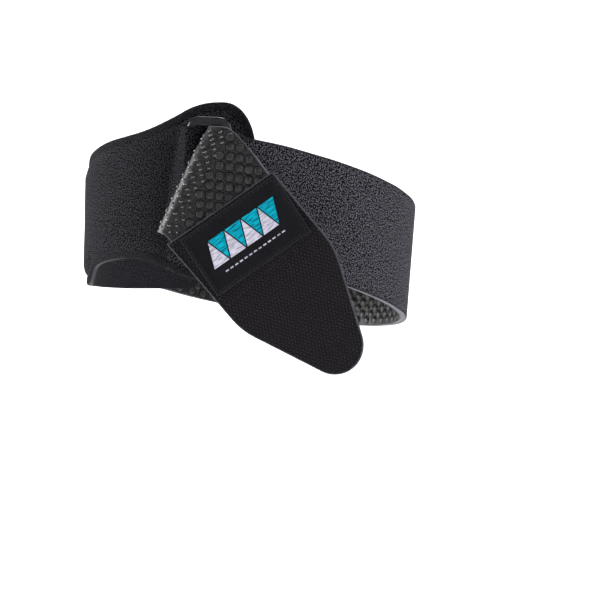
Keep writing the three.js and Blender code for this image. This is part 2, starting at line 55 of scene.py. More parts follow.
# Pad: a shaped panel of soft foam, 4 mm thick, between two layers of brushed fabric.
# It is cut flat, with a tall lobe under the ring and an arch in its lower edge. Its rim is
# pressed thinner all round, and it is bent to the strap's round loop.
LOOP_RADIUS = 61 * MM
LOOP_TAPER = 0.03
LOOP_LEAN = 0.05
PAD_HEIGHT = 67 * MM
PAD_THICKNESS = 4 * MM
PAD_FRONT_TURN = 1.3
PAD_REAR_TURN = -160
PAD_LENGTH = math.radians(PAD_FRONT_TURN - PAD_REAR_TURN) * (LOOP_RADIUS + PAD_THICKNESS)
RIM_WIDTH = 3.5 * MM
RIM_THICKNESS = 2.6 * MM
RIM_SLOPE = 3.2 * MM
RIM_EDGE = 1.1 * MM
GROOVE_DEPTH = 0.3 * MM
GROOVE_WIDTH = 0.5 * MM
RIPPLE_HEIGHT = 0.12 * MM
RIPPLE_WAVES = (9 * MM, 13 * MM, 7 * MM)
FOAM_SETTLED = 0.1 * MM
LINING_EDGE = 0.5 * MM
FRONT_CORNER = {"length": 13 * MM, "top": 0.29, "bottom": 0.24}
REAR_CORNER = {"length": 6 * MM, "top": 0.08, "bottom": 0.08}
# Share of the pad's length from the ring's end, and its upper and lower edge as shares of its height.
PAD_OUTLINE = [
    (0, 0.675, -0.326),
    (0.058, 0.678, -0.324),
    (0.095, 0.678, -0.314),
    (0.12, 0.668, -0.3),
    (0.144, 0.648, -0.28),
    (0.172, 0.612, -0.256),
    (0.2, 0.58, -0.226),
    (0.231, 0.55, -0.2),
    (0.268, 0.525, -0.184),
    (0.312, 0.506, -0.181),
    (0.361, 0.49, -0.189),
    (0.411, 0.469, -0.204),
    (0.448, 0.451, -0.228),
    (0.473, 0.439, -0.272),
    (0.495, 0.427, -0.31),
    (0.523, 0.406, -0.325),
    (0.566, 0.366, -0.33),
    (0.628, 0.33, -0.332),
    (0.702, 0.315, -0.338),
    (0.802, 0.318, -0.344),
    (0.913, 0.335, -0.344),
    (1, 0.33, -0.35),
]
# Distances from an edge at which cloth gets a row of points, so that its rim and groove are round.
EDGE_ROWS = np.array([0, 0.12, 0.35, 0.7, 1.2, 1.8, 2.4, 2.9, 3.2, 3.5, 3.8, 4.1, 4.6, 5.3]) * MM
PAD_ROWS = 170
PAD_COLUMNS = 18
PAD_EDGE_POINTS = 1500
PAD_END_POINTS = 150
# Brushed pile: how much its tufts are scattered and uneven, and the level where a tip ends.
TUFT_SCATTER = 0.85
TUFT_UNEVEN = 1.5
TUFT_UNEVEN_SIZE = 1.6
TIP_END = 0.58
TIP_SHARE = 0.7
# The pressed rim of a pile fabric: where it is at its flattest, and how much of the pile it hides.
PRESSED_INNER = 0.7
PRESSED_SHARE = 0.6


def on_loop(turn, height, out):
    """Points on the inside of the loop, or out metres off it, at a turn in degrees from its front."""
    radius = LOOP_RADIUS + LOOP_TAPER * height + out
    angle = np.radians(turn)
    across = LOOP_LEAN * height + radius * np.sin(angle)
    return np.stack(np.broadcast_arrays(across, -radius * np.cos(angle), height), axis=-1)


def smoothstep(value, low, high):
    share = np.clip((value - low) / (high - low), 0, 1)
    return share * share * (3 - 2 * share)


def edge_drop(distance, radius):
    """How far a rounded edge falls away, at a distance from it."""
    share = np.clip(1 - distance / radius, 0, 1)
    return radius * (1 - np.sqrt(1 - share**2))


def outline_at(along, side):
    """Pad's upper (1) or lower (2) edge at a share of its length, smooth through the outline's rows."""
    table = np.array(PAD_OUTLINE)
    place, edge = table[:, 0], table[:, side]
    slope = np.empty(len(table))
    slope[1:-1] = (edge[2:] - edge[:-2]) / (place[2:] - place[:-2])
    slope[0] = (edge[1] - edge[0]) / (place[1] - place[0])
    slope[-1] = (edge[-1] - edge[-2]) / (place[-1] - place[-2])
    k = np.clip(np.searchsorted(place, along, side="right") - 1, 0, len(table) - 2)
    span = place[k + 1] - place[k]
    s = (along - place[k]) / span
    return (
        edge[k] * (2 * s**3 - 3 * s**2 + 1)
        + slope[k] * span * (s**3 - 2 * s**2 + s)
        + edge[k + 1] * (3 * s**2 - 2 * s**3)
        + slope[k + 1] * span * (s**3 - s**2)
    )


def pad_edges(along):
    """Heights of the pad's upper and lower edge at distances along it, with its corners rounded."""
    edges = []
    for side, name, inward in ((1, "top", -1), (2, "bottom", 1)):
        height = outline_at(along / PAD_LENGTH, side) * PAD_HEIGHT
        for corner, distance in ((FRONT_CORNER, along), (REAR_CORNER, PAD_LENGTH - along)):
            drop = edge_drop(distance / corner["length"], 1)
            height = height + inward * drop * corner[name] * PAD_HEIGHT
        edges.append(height)
    return edges


def flat_cloth(along, across):
    """Flat grid of cloth. along and across give each point's place, a row for each row of threads."""
    rows, columns = along.shape
    cloth = bmesh.new()
    bmesh.ops.create_grid(cloth, x_segments=rows - 1, y_segments=columns - 1, size=1)
    for point in cloth.verts:
        i = round((point.co.x + 1) / 2 * (rows - 1))
        j = round((point.co.y + 1) / 2 * (columns - 1))
        point.co = (along[i, j], across[i, j], 0)
    return cloth


def with_edge_rows(low, high, steps):
    """Places from low to high, close together near both ends and even between them."""
    inner = np.linspace(low + EDGE_ROWS[-1], high - EDGE_ROWS[-1], steps)
    return np.concatenate([low + EDGE_ROWS[:-1], inner, (high - EDGE_ROWS[:-1])[::-1]])


def places_of(cloth):
    return np.array([point.co[:] for point in cloth.verts])


def move_to(cloth, places):
    for point, place in zip(cloth.verts, places):
        point.co = place


def lay(cloth, surface):
    """Bends flat cloth to a surface, which tells where flat places come to lie."""
    move_to(cloth, surface(places_of(cloth)))


def newest_points(grown):
    """The points among the parts that an operator has made."""
    return [part for part in grown if isinstance(part, bmesh.types.BMVert)]


def distance_to_edge(places, edge):
    """Distance in the flat from each point to the nearest of the points that follow the edge."""
    found = np.empty(len(places))
    for start in range(0, len(places), 2000):
        part = places[start : start + 2000, None, :2] - edge[None]
        found[start : start + 2000] = np.sqrt((part**2).sum(axis=2).min(axis=1))
    return found


def thicken(cloth, edge, under, over):
    """Gives flat cloth its two faces. under and over tell their height at a distance from the edge.
    Faces get material 0 on top, 1 beneath and 2 on the cut edge. The layer edge keeps the distance."""
    beneath = cloth.faces[:]
    grown = bmesh.ops.extrude_face_region(cloth, geom=beneath)["geom"]
    above = {part for part in grown if isinstance(part, bmesh.types.BMFace)}
    raised = set(newest_points(grown))
    for face in cloth.faces:
        face.material_index = 0 if face in above else 2
    for face in beneath:
        face.material_index = 1
    places = places_of(cloth)
    distance = distance_to_edge(places, edge)
    top = np.array([point in raised for point in cloth.verts])
    places[:, 2] = np.where(top, over(places, distance), under(places, distance))
    move_to(cloth, places)
    layer = cloth.verts.layers.float.new("edge")
    for point, value in zip(cloth.verts, distance):
        point[layer] = value


def keep_flat_map(cloth):
    """Keeps each point's place in the flat, in metres, as the cloth's own UV map. On an upright
    wall its height counts too, so that a pattern isn't drawn out there."""
    flat = cloth.loops.layers.uv.new("flat")
    for face in cloth.faces:
        face.normal_update()
        upright = abs(face.normal.z) < 0.5
        for corner in face.loops:
            x, y, z = corner.vert.co
            rise = z if upright else 0
            corner[flat].uv = (x + rise, y + rise)


def finish_piece(name, cloth, materials, corner=50):
    """Makes a piece of a mesh: faces outwards, smooth up to a corner's angle, with its finish."""
    bmesh.ops.recalc_face_normals(cloth, faces=cloth.faces)
    mesh = bpy.data.meshes.new(name)
    cloth.to_mesh(mesh)
    cloth.free()
    mesh.shade_smooth()
    mesh.set_sharp_from_angle(angle=math.radians(corner))
    for material in materials:
        mesh.materials.append(material)
    piece = bpy.data.objects.new(name, mesh)
    bpy.context.scene.collection.objects.link(piece)
    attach(piece, "root")
    return piece


class Nodes:
    """Small builder of a node tree: each node is made with its inputs, by value or by link."""

    def __init__(self, tree):
        self.tree = tree

    def add(self, kind, settings=None, **inputs):
        node = self.tree.nodes.new(kind)
        for name, value in (settings or {}).items():
            setattr(node, name, value)
        for name, value in inputs.items():
            self.feed(node, name, value)
        return node

    def feed(self, node, name, value):
        socket = node.inputs[int(name[1:])] if name[1:].isdigit() else node.inputs[name.replace("_", " ")]
        if isinstance(value, bpy.types.NodeSocket):
            self.tree.links.new(value, socket)
        else:
            socket.default_value = value

    def math(self, operation, first, second=0.0, third=0.0):
        settings = {"operation": operation}
        return self.add("ShaderNodeMath", settings, i0=first, i1=second, i2=third).outputs[0]

    def place(self):
        return self.add("ShaderNodeTexCoord").outputs["Object"]

    def flat_place(self):
        return self.add("ShaderNodeUVMap", {"uv_map": "flat"}).outputs["UV"]

    def attribute(self, name):
        return self.add("ShaderNodeAttribute", {"attribute_name": name}).outputs["Fac"]

    def noise(self, place, scale, detail=2.0, roughness=0.5):
        return self.add(
            "ShaderNodeTexNoise", Vector=place, Scale=scale, Detail=detail, Roughness=roughness
        ).outputs["Fac"]

    def spread(self, value, low, high, to_low=0.0, to_high=1.0):
        return self.add(
            "ShaderNodeMapRange",
            {"interpolation_type": "SMOOTHSTEP"},
            Value=value,
            From_Min=low,
            From_Max=high,
            To_Min=to_low,
            To_Max=to_high,
        ).outputs["Result"]

    def mix(self, share, first, second):
        settings = {"data_type": "RGBA"}
        return self.add("ShaderNodeMix", settings, i0=share, i6=first, i7=second).outputs[2]

    def bump(self, shader, height, depth, strength=1.0):
        normal = self.add("ShaderNodeBump", Height=height, Distance=depth, Strength=strength)
        self.feed(shader, "Normal", normal.outputs["Normal"])


COLOUR_AND_HEIGHT = {"Color": "Color", "Height": "Float"}


def new_group(name, inputs, outputs=COLOUR_AND_HEIGHT):
    """Empty shader node group with these sockets. Returns the group, its builder, inputs and end."""
    group = bpy.data.node_groups.new(name, "ShaderNodeTree")
    for side, sockets in (("INPUT", inputs), ("OUTPUT", outputs)):
        for socket, kind in sockets.items():
            group.interface.new_socket(socket, in_out=side, socket_type="NodeSocket" + kind)
    nodes = Nodes(group)
    start = nodes.add("NodeGroupInput")
    end = nodes.add("NodeGroupOutput")
    return group, nodes, start.outputs, end


def new_finish(name, **sockets):
    """Material with one shader. Returns it, its node builder and the shader."""
    material = bpy.data.materials.new(name)
    material.use_nodes = True
    nodes = Nodes(material.node_tree)
    shader = material.node_tree.nodes["Principled BSDF"]
    for socket, value in sockets.items():
        nodes.feed(shader, socket, value)
    return material, nodes, shader


def place_group(nodes, group, **inputs):
    node = nodes.add("ShaderNodeGroup", {"node_tree": group})
    for name, value in inputs.items():
        nodes.feed(node, name, value)
    return node.outputs


def brushed_pile():
    """Tufts of brushed or looped pile, close together: a small light tip on each in dark ground."""
    inputs = {"Place": "Vector", "Tuft": "Float", "Hollow": "Color", "Tip": "Color"}
    group, nodes, given, end = new_group("brushed pile", inputs)
    scale = nodes.math("DIVIDE", 1.0, given["Tuft"])
    tufts = nodes.add(
        "ShaderNodeTexVoronoi",
        {"voronoi_dimensions": "2D"},
        Vector=given["Place"],
        Scale=scale,
        Randomness=TUFT_SCATTER,
    ).outputs["Distance"]
    uneven = nodes.noise(given["Place"], nodes.math("MULTIPLY", scale, TUFT_UNEVEN_SIZE), 0.0)
    from_tip = nodes.math("ADD", tufts, TUFT_UNEVEN / 2)
    tips = nodes.spread(nodes.math("MULTIPLY_ADD", uneven, -TUFT_UNEVEN, from_tip), TIP_END, 0.0)
    height = nodes.math("MULTIPLY_ADD", uneven, 1 - TIP_SHARE, nodes.math("MULTIPLY", tips, TIP_SHARE))
    nodes.feed(end, "Color", nodes.mix(tips, given["Hollow"], given["Tip"]))
    nodes.feed(end, "Height", height)
    return group


def edge_band():
    """Another colour along a piece's cut edge: its full share up to Inner, fading out at Outer."""
    inputs = {"Face": "Color", "Band": "Color", "Inner": "Float", "Outer": "Float", "Share": "Float"}
    group, nodes, given, end = new_group("edge band", inputs, {"Color": "Color"})
    share = nodes.spread(nodes.attribute("edge"), given["Inner"], given["Outer"], given["Share"], 0.0)
    nodes.feed(end, "Color", nodes.mix(share, given["Face"], given["Band"]))
    return group


def speckle():
    """Fine speckle from a dark shade to a light one, as on cut foam, cut layers and nylon."""
    inputs = {"Place": "Vector", "Scale": "Float", "Detail": "Float", "Roughness": "Float"}
    group, nodes, given, end = new_group("speckle", {**inputs, "Dark": "Color", "Light": "Color"})
    grain = nodes.noise(given["Place"], given["Scale"], given["Detail"], given["Roughness"])
    nodes.feed(end, "Color", nodes.mix(grain, given["Dark"], given["Light"]))
    nodes.feed(end, "Height", grain)
    return group


PILE = brushed_pile()
EDGE_BAND = edge_band()
SPECKLE = speckle()


def grey(value):
    """Dyed black, a little blue, as it looks in daylight."""
    return (value, 0.98 * value, 1.18 * value, 1)


def pile_finish(name, hollow, tip, tuft, rim, rim_width, depth):
    """Brushed fabric, with the greys of its ground and tips. Its pile is pressed flat along its edge,
    and it has painted shade, going to the ground's grey, where its shade layer says so."""
    hollow = grey(hollow)
    material, nodes, shader = new_finish(
        name, Roughness=0.95, Sheen_Weight=0.02, Sheen_Roughness=0.4, Specular_IOR_Level=0.03
    )
    pile = place_group(nodes, PILE, Place=nodes.flat_place(), Tuft=tuft, Hollow=hollow, Tip=grey(tip))
    # Painted shade: the pile goes to its ground's grey where the shade layer is high.
    face = nodes.mix(nodes.attribute("keeper_shade"), pile["Color"], hollow)
    pressed = {"Inner": rim_width * PRESSED_INNER, "Outer": rim_width, "Share": PRESSED_SHARE}
    band = place_group(nodes, EDGE_BAND, Face=face, Band=grey(rim), **pressed)
    nodes.feed(shader, "Base Color", band["Color"])
    nodes.bump(shader, pile["Height"], depth)
    return material


def speckled_finish(name, roughness, dark, light, scale, detail=2.0, soft=0.5, depth=0.0, strength=1.0):
    """Finish that varies a little between two greys."""
    material, nodes, shader = new_finish(name, Roughness=roughness)
    grain = {"Scale": scale, "Detail": detail, "Roughness": soft}
    shades = {"Dark": grey(dark), "Light": grey(light)}
    speckles = place_group(nodes, SPECKLE, Place=nodes.place(), **grain, **shades)
    nodes.feed(shader, "Base Color", speckles["Color"])
    if depth:
        nodes.bump(shader, speckles["Height"], depth, strength)
    return material


pad_pile = pile_finish(
    "pad pile", hollow=0.001, tip=0.04, tuft=0.7 * MM, rim=0.009, rim_width=3.3 * MM, depth=0.4 * MM
)
pad_lining = pile_finish(
    "pad lining", hollow=0.01, tip=0.03, tuft=0.8 * MM, rim=0.015, rim_width=3.3 * MM, depth=0.2 * MM
)
foam_edge = speckled_finish(
    "foam edge", roughness=0.9, dark=0.012, light=0.035, scale=3000.0, detail=3.0, depth=0.15 * MM
)

along = with_edge_rows(0, PAD_LENGTH, PAD_ROWS)
top, bottom = pad_edges(along)
across = np.array([with_edge_rows(low, high, PAD_COLUMNS) for low, high in zip(bottom, top)])
panel = flat_cloth(np.repeat(along[:, None], across.shape[1], axis=1), across)
follow = np.linspace(0, PAD_LENGTH, PAD_EDGE_POINTS)
top, bottom = pad_edges(follow)
ends = [
    (follow[end], height)
    for end in (0, -1)
    for height in np.linspace(bottom[end], top[end], PAD_END_POINTS)
]
pad_edge = np.concatenate([np.stack([follow, top], 1), np.stack([follow, bottom], 1), np.array(ends)])


def pad_face(places, distance):
    """Height of the pad's outer face: pressed rim, groove, and foam that swells a little unevenly."""
    x, y = places[:, 0], places[:, 1]
    swell = smoothstep(distance, RIM_WIDTH, RIM_WIDTH + RIM_SLOPE)
    groove = GROOVE_DEPTH * np.exp(-(((distance - RIM_WIDTH) / GROOVE_WIDTH) ** 2))
    long_wave, sway_wave, cross_wave = RIPPLE_WAVES
    ripple = np.sin(x / long_wave + 2 * np.sin(y / sway_wave)) * np.sin(y / cross_wave + 1)
    foam = PAD_THICKNESS - RIM_THICKNESS - FOAM_SETTLED + RIPPLE_HEIGHT * ripple
    return RIM_THICKNESS + foam * swell - groove - edge_drop(distance, RIM_EDGE)


def pad_place(places):
    """Where flat places of the pad come to lie: back from its ring end, up it, and out of it."""
    turn = PAD_FRONT_TURN - np.degrees(places[:, 0] / (LOOP_RADIUS + PAD_THICKNESS))
    return on_loop(turn, places[:, 1], places[:, 2])


thicken(panel, pad_edge, lambda places, distance: edge_drop(distance, LINING_EDGE), pad_face)
keep_flat_map(panel)
lay(panel, pad_place)
pad = finish_piece("pad_panel", panel, [pad_pile, pad_lining, foam_edge])
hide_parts("pad")

# Ring: a flat loop moulded in glossy black plastic, with rounded edges and one long slot.
# It lies on the pad's lobe, and the belt is passed under its right bar and up through the slot.
RING_TURN = -13
RING_HEIGHT = 13.1 * MM
RING_WIDTH = 17 * MM
RING_BAR = 3.6 * MM
RING_THICKNESS = 2.6 * MM
RING_CORNER = 5 * MM
RING_BEVEL = 0.8 * MM
RING_SLACK = 3.3 * MM
SCUFF_SCALE = 900.0
WAVE_SCALE = 260.0
BELT_WIDTH = 43 * MM
BELT_THICKNESS = 2.5 * MM
GAP = 0.3 * MM
RING_LENGTH = BELT_WIDTH + RING_SLACK + 2 * RING_BAR
RING_BASE = 2 * GAP + BELT_THICKNESS
RING_TOP = RING_BASE + RING_THICKNESS

ring_origin = on_loop(RING_TURN, RING_HEIGHT, PAD_THICKNESS)
ring_up = on_loop(RING_TURN, RING_HEIGHT + MM, PAD_THICKNESS) - ring_origin
ring_up /= np.linalg.norm(ring_up)
ring_right = np.array([math.cos(math.radians(RING_TURN)), math.sin(math.radians(RING_TURN)), 0])
ring_right -= ring_right.dot(ring_up) * ring_up
ring_right /= np.linalg.norm(ring_right)
RING_AXES = np.array([ring_right, ring_up, np.cross(ring_right, ring_up)])


def at_ring(across, up, out):
    """Points given from the ring: across it to the right, up along it, and out from the pad."""
    return ring_origin + np.stack(np.broadcast_arrays(across, up, out), axis=-1) @ RING_AXES


def rectangle(width, height):
    """One flat face, width along X and height along Y."""
    shape = bmesh.new()
    bmesh.ops.create_grid(shape, x_segments=1, y_segments=1, size=0.5)
    bmesh.ops.scale(shape, vec=(width, height, 1), verts=shape.verts)
    return shape


def round_off(shape, parts, radius, segments, affect="EDGES"):
    bmesh.ops.bevel(
        shape, geom=parts, offset=radius, segments=segments, profile=0.5, affect=affect, material=-1
    )


def raise_faces(shape, height):
    """Draws a flat shape up into a plate of that height."""
    grown = bmesh.ops.extrude_face_region(shape, geom=shape.faces[:])["geom"]
    bmesh.ops.translate(shape, vec=(0, 0, height), verts=newest_points(grown))


gloss_black, nodes, shader = new_finish(
    "gloss black plastic", Base_Color=(0.005, 0.005, 0.006, 1), Specular_IOR_Level=0.32
)
place = nodes.place()
scuffs = nodes.noise(place, SCUFF_SCALE, 4.0, 0.7)
nodes.feed(shader, "Roughness", nodes.spread(scuffs, 0.3, 0.75, 0.08, 0.2))
nodes.bump(shader, nodes.noise(place, WAVE_SCALE), 0.05 * MM, 0.6)

loop = rectangle(RING_WIDTH, RING_LENGTH)
round_off(loop, loop.verts[:], RING_CORNER, 10, affect="VERTICES")
raise_faces(loop, RING_THICKNESS)
bmesh.ops.recalc_face_normals(loop, faces=loop.faces)
flats = [face for face in loop.faces if abs(face.normal.z) > 0.9]
bmesh.ops.inset_individual(loop, faces=flats, thickness=RING_BAR, use_even_offset=True)
slot_edges = list({edge for face in flats for edge in face.edges})
bmesh.ops.delete(loop, geom=flats, context="FACES_ONLY")
bmesh.ops.bridge_loops(loop, edges=slot_edges)
bmesh.ops.recalc_face_normals(loop, faces=loop.faces)
rims = [edge for edge in loop.edges if edge.calc_face_angle(0) > math.radians(60)]
round_off(loop, rims, RING_BEVEL, 5)
bmesh.ops.translate(loop, vec=(0, 0, RING_BASE), verts=loop.verts)
lay(loop, lambda places: at_ring(*places.T))
ring = finish_piece("ring_loop", loop, [gloss_black], corner=80)
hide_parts("ring")

# Belt: an elastic strap of loop pile outside, thin foam, and grip rubber inside, cut 43 mm wide.
# It is sewn to the pad's rear end, goes round the back and over the lobe, passes the ring, and
# folds back obliquely over itself, so that its rubber face shows on the flap.
BELT_ROLL = 13.4 * MM
BELT_PITCH = 9.8 * MM
BELT_OVERLAP_TURN = 17
BELT_STEP_TURN = 13
BELT_STEP_MARGIN = 2
BELT_START_TURN = PAD_REAR_TURN + 360 + BELT_OVERLAP_TURN
BELT_UNDER_TURN = PAD_FRONT_TURN - BELT_STEP_MARGIN
BELT_ROUND_STATIONS = 23
KEEPER_THICKNESS = 1.5 * MM
KEEPER_TOP = RING_TOP + GAP + KEEPER_THICKNESS
BELT_OVER_KEEPER = KEEPER_TOP + GAP + BELT_THICKNESS / 2
FLAP_ANGLE = math.radians(46)
FLAP_CLEARANCE = 0.65 * MM
FLAP_LIFT = BELT_OVER_KEEPER + BELT_THICKNESS + FLAP_CLEARANCE
FLAP_BEND_RADIUS = 300 * MM
FLAP_TWIST = 2.3 * MM
FLAP_TWIST_LENGTH = 60 * MM
FLAP_SWAY = 0.9 * MM
FLAP_SWAY_LENGTH = 46 * MM
FLAP_BELT_END = 37 * MM
TAB_START = 10.2 * MM
# Fold in the ring, a place for each of five lengthwise fibres from the top edge to the bottom one:
# across is a share of half the ring's width, and out of the height of a belt over the keeper.
# edges are the heights of the belt's two edges along the ring, as shares of its width.
FOLD = [
    {
        "across": (0.3, 0.22, 0.18, 0.165, 0.153),
        "out": (0.26, 0.3, 0.33, 0.34, 0.35),
        "edges": (0.506, -0.483),
    },
    {
        "across": (0.135, 0.01, -0.07, -0.105, -0.13),
        "out": (0.46, 0.55, 0.62, 0.66, 0.685),
        "edges": (0.513, -0.474),
    },
    {
        "across": (0.118, -0.15, -0.29, -0.42, -0.53),
        "out": (0.57, 0.79, 0.89, 0.985, 1.03),
        "edges": (0.52, -0.455),
    },
    {
        "across": (0.124, -0.27, -0.59, -0.96, -1.41),
        "out": (0.68, 0.95, 1.07, 1.1, 1.1),
        "edges": (0.527, -0.414),
    },
    {
        "across": (0.2, -0.34, -0.82, -1.31, -1.79),
        "out": (0.81, 1.13, 1.28, 1.32, 1.32),
        "edges": (0.531, -0.391),
    },
    {
        "across": (0.42, -0.14, -0.58, -1.05, -1.53),
        "out": (0.92, 1.33, 1.5, 1.54, 1.55),
        "edges": (0.529, -0.398),
    },
]
# Where the flap fans out of the crease: along and side of its two edges, as shares of the belt's width.
FLAP_FAN = [
    {"top": (-0.24, 0.483), "bottom": (0.12, -0.51), "settled": 0.25},
    {"top": (-0.04, 0.508), "bottom": (0.19, -0.505), "settled": 0.7},
]
FLAP_STATIONS = 5
BELT_SHARES = np.linspace(0, 1, 44)
BELT_ROW = 0.8 * MM
BELT_COLUMNS = 22
BELT_EDGE = 0.45 * MM
GRIP_EDGE = 0.45 * MM
FOAM_THICKNESS = 1.1 * MM
FOAM_STEP = 0.16 * MM
RUBBER_DARK = (0.0026, 0.0024, 0.0027, 1)
RUBBER_WORN = (0.021, 0.0195, 0.0215, 1)
RUBBER_GRAIN = {"Scale": 1500.0, "Low": 0.32, "High": 0.68, "Dark": RUBBER_DARK, "Light": RUBBER_WORN}
RUBBER_DEPTH = 0.06 * MM
RUBBER_PALE_EDGE = 0.55 * MM


def blend(first, second, share):
    return first + (second - first) * share


def curve_through(stations, places):
    """Smooth curves through rows of points, one for each column: centripetal, as a batten bends.
    places counts the stations from 0."""
    ends = [2 * stations[:1] - stations[1:2], stations, 2 * stations[-1:] - stations[-2:-1]]
    points = np.concatenate(ends)
    k = np.clip(places.astype(int), 0, len(stations) - 2)
    s = (places - k)[:, None, None]
    before, low, high, after = (points[k + i] for i in range(4))
    first, middle, last = (
        np.sqrt(np.linalg.norm(b - a, axis=-1, keepdims=True)) + 1e-9
        for a, b in ((before, low), (low, high), (high, after))
    )
    leave = (low - before) / first - (high - before) / (first + middle) + (high - low) / middle
    reach = (high - low) / middle - (after - low) / (middle + last) + (after - high) / last
    leave, reach = leave * middle, reach * middle
    return (
        low
        + leave * s
        + (3 * (high - low) - 2 * leave - reach) * s**2
        + (2 * (low - high) + leave + reach) * s**3
    )


def drape(stations, level, width, fine=24, step=0.4 * MM):
    """Surface of a sheet that is drawn over rows of points, and its flat length.
    level lists the stations where the sheet's cross threads lie straight across it."""
    places = np.linspace(0, len(stations) - 1, (len(stations) - 1) * fine + 1)
    paths = curve_through(stations, places)
    lengths = np.zeros(paths.shape[:2])
    lengths[1:] = np.cumsum(np.linalg.norm(np.diff(paths, axis=0), axis=2), axis=0)
    marks = np.array(level) * fine
    flat_marks = np.concatenate([[0], np.cumsum(np.diff(lengths[marks], axis=0).mean(axis=1))])
    rows = int(math.ceil(flat_marks[-1] / step)) + 1
    even = np.linspace(0, flat_marks[-1], rows)
    grid = np.empty((rows, paths.shape[1], 3))
    for j in range(paths.shape[1]):
        flat = np.interp(lengths[:, j], lengths[marks, j], flat_marks)
        for axis in range(3):
            grid[:, j, axis] = np.interp(even, flat, paths[:, j, axis])
    normals = np.cross(np.gradient(grid, axis=0), np.gradient(grid, axis=1))
    normals /= np.linalg.norm(normals, axis=2, keepdims=True)

    def surface(places):
        """Where flat places (along, across, out) come to lie."""
        row = np.clip(places[:, 0] / flat_marks[-1], 0, 1) * (rows - 1)
        column = np.clip(0.5 - places[:, 1] / width, 0, 1) * (grid.shape[1] - 1)
        i = np.clip(row.astype(int), 0, rows - 2)
        j = np.clip(column.astype(int), 0, grid.shape[1] - 2)
        s, t = (row - i)[:, None], (column - j)[:, None]
        point, normal = (
            blend(blend(a[i, j], a[i + 1, j], s), blend(a[i, j + 1], a[i + 1, j + 1], s), t)
            for a in (grid, normals)
        )
        return point + normal * places[:, 2:3]

    return surface, flat_marks[-1]


def pad_surface(across):
    """How far the pad falls away from the ring's own plane."""
    radius = LOOP_RADIUS + PAD_THICKNESS
    return np.sqrt(radius**2 - across**2) - radius


def belt_row(turn, shares):
    """Points across the belt at a turn round the loop. It stands on the pad at both its ends."""
    angle = math.radians(turn)
    middle = -BELT_ROLL * math.sin(angle) + BELT_PITCH * math.cos(angle)
    slope = (-BELT_ROLL * math.cos(angle) - BELT_PITCH * math.sin(angle)) / (LOOP_RADIUS + PAD_THICKNESS)
    rear = PAD_REAR_TURN + 360
    over_front = 1 - smoothstep(turn, PAD_FRONT_TURN + BELT_STEP_MARGIN, PAD_FRONT_TURN + BELT_STEP_TURN)
    over_rear = smoothstep(turn, rear - BELT_STEP_TURN, rear - BELT_STEP_MARGIN)
    out = BELT_THICKNESS / 2 + (PAD_THICKNESS + GAP) * max(over_front, over_rear)
    return on_loop(turn, middle + BELT_WIDTH * math.hypot(1, slope) * (0.5 - shares), out)


def fold_row(fold, shares):
    """Across and out of the belt in the fold, smooth through the five fibres."""
    fibres = np.stack([np.array(fold["across"]), np.zeros(5), np.array(fold["out"])], axis=1)
    fibres = fibres * [RING_WIDTH / 2, 0, BELT_OVER_KEEPER]
    points = curve_through(fibres[:, None], shares * 4)[:, 0]
    points[:, 1] = blend(*fold["edges"], shares) * BELT_WIDTH
    return points


def flap_place(along, straight_side, lift):
    """Place from the ring of a point of the flap: along it, to its upper side, and above its middle."""
    side = straight_side + FLAP_SWAY * (1 - (along / FLAP_SWAY_LENGTH) ** 2)
    twist = np.clip(1 - along / FLAP_TWIST_LENGTH, 0, None) ** 2
    out = (
        FLAP_LIFT
        - np.clip(along, 0, None) ** 2 / (2 * FLAP_BEND_RADIUS)
        - side / BELT_WIDTH * 2 * FLAP_TWIST * np.minimum(1, twist)
    )
    across = along * math.cos(FLAP_ANGLE) + side * math.sin(FLAP_ANGLE)
    up = -along * math.sin(FLAP_ANGLE) + side * math.cos(FLAP_ANGLE)
    return np.stack([across, up, out + lift], axis=-1)


def fan_row(row, shares):
    """Points across the flap where it leaves the crease and settles into its own plane."""
    along, side = (blend(a, b, shares) * BELT_WIDTH for a, b in zip(row["top"], row["bottom"]))
    points = flap_place(along, side, 0)
    points[:, 2] = blend(fold_row(FOLD[-1], shares)[:, 2], points[:, 2], row["settled"])
    return points


def belt_stations(shares):
    """Rows of points across the belt's middle layer, from the rear seam to the flap's end."""
    turns = np.linspace(BELT_START_TURN, BELT_UNDER_TURN, BELT_ROUND_STATIONS)
    rows = [belt_row(turn, shares) for turn in turns]
    under_bar = (RING_WIDTH - RING_BAR) / 2
    out = pad_surface(under_bar) + GAP + BELT_THICKNESS / 2
    rows.append(at_ring(under_bar, blend(*FOLD[0]["edges"], shares) * BELT_WIDTH, out))
    rows += [at_ring(*fold_row(fold, shares).T) for fold in FOLD]
    rows += [at_ring(*fan_row(row, shares).T) for row in FLAP_FAN]
    for along in np.linspace(TAB_START, FLAP_BELT_END, FLAP_STATIONS):
        side = (0.5 - shares) * BELT_WIDTH
        rows.append(at_ring(*flap_place(np.full(len(shares), along), side, 0).T))
    return np.array(rows)


def rectangle_edge(along_ends, across_ends, along_count, across_count):
    """Points that follow a flat rectangle's edge: both of its sides, then both of its ends."""
    sides = [(x, y) for y in across_ends for x in np.linspace(*along_ends, along_count)]
    ends = [(x, y) for x in along_ends for y in np.linspace(*across_ends, across_count)]
    return np.array(sides + ends)


stations = belt_stations(BELT_SHARES)
first_flap = len(stations) - FLAP_STATIONS
level = [*range(BELT_ROUND_STATIONS + 1), *range(first_flap, len(stations))]
belt_surface, belt_length = drape(stations, level, BELT_WIDTH)

along = with_edge_rows(0, belt_length, int(belt_length / BELT_ROW))
across = with_edge_rows(-BELT_WIDTH / 2, BELT_WIDTH / 2, BELT_COLUMNS)
strap = flat_cloth(*np.meshgrid(along, across, indexing="ij"))
thicken(
    strap,
    rectangle_edge((0, belt_length), (-BELT_WIDTH / 2, BELT_WIDTH / 2), 1200, 200),
    lambda places, distance: -BELT_THICKNESS / 2 + edge_drop(distance, GRIP_EDGE),
    lambda places, distance: BELT_THICKNESS / 2 - edge_drop(distance, BELT_EDGE),
)
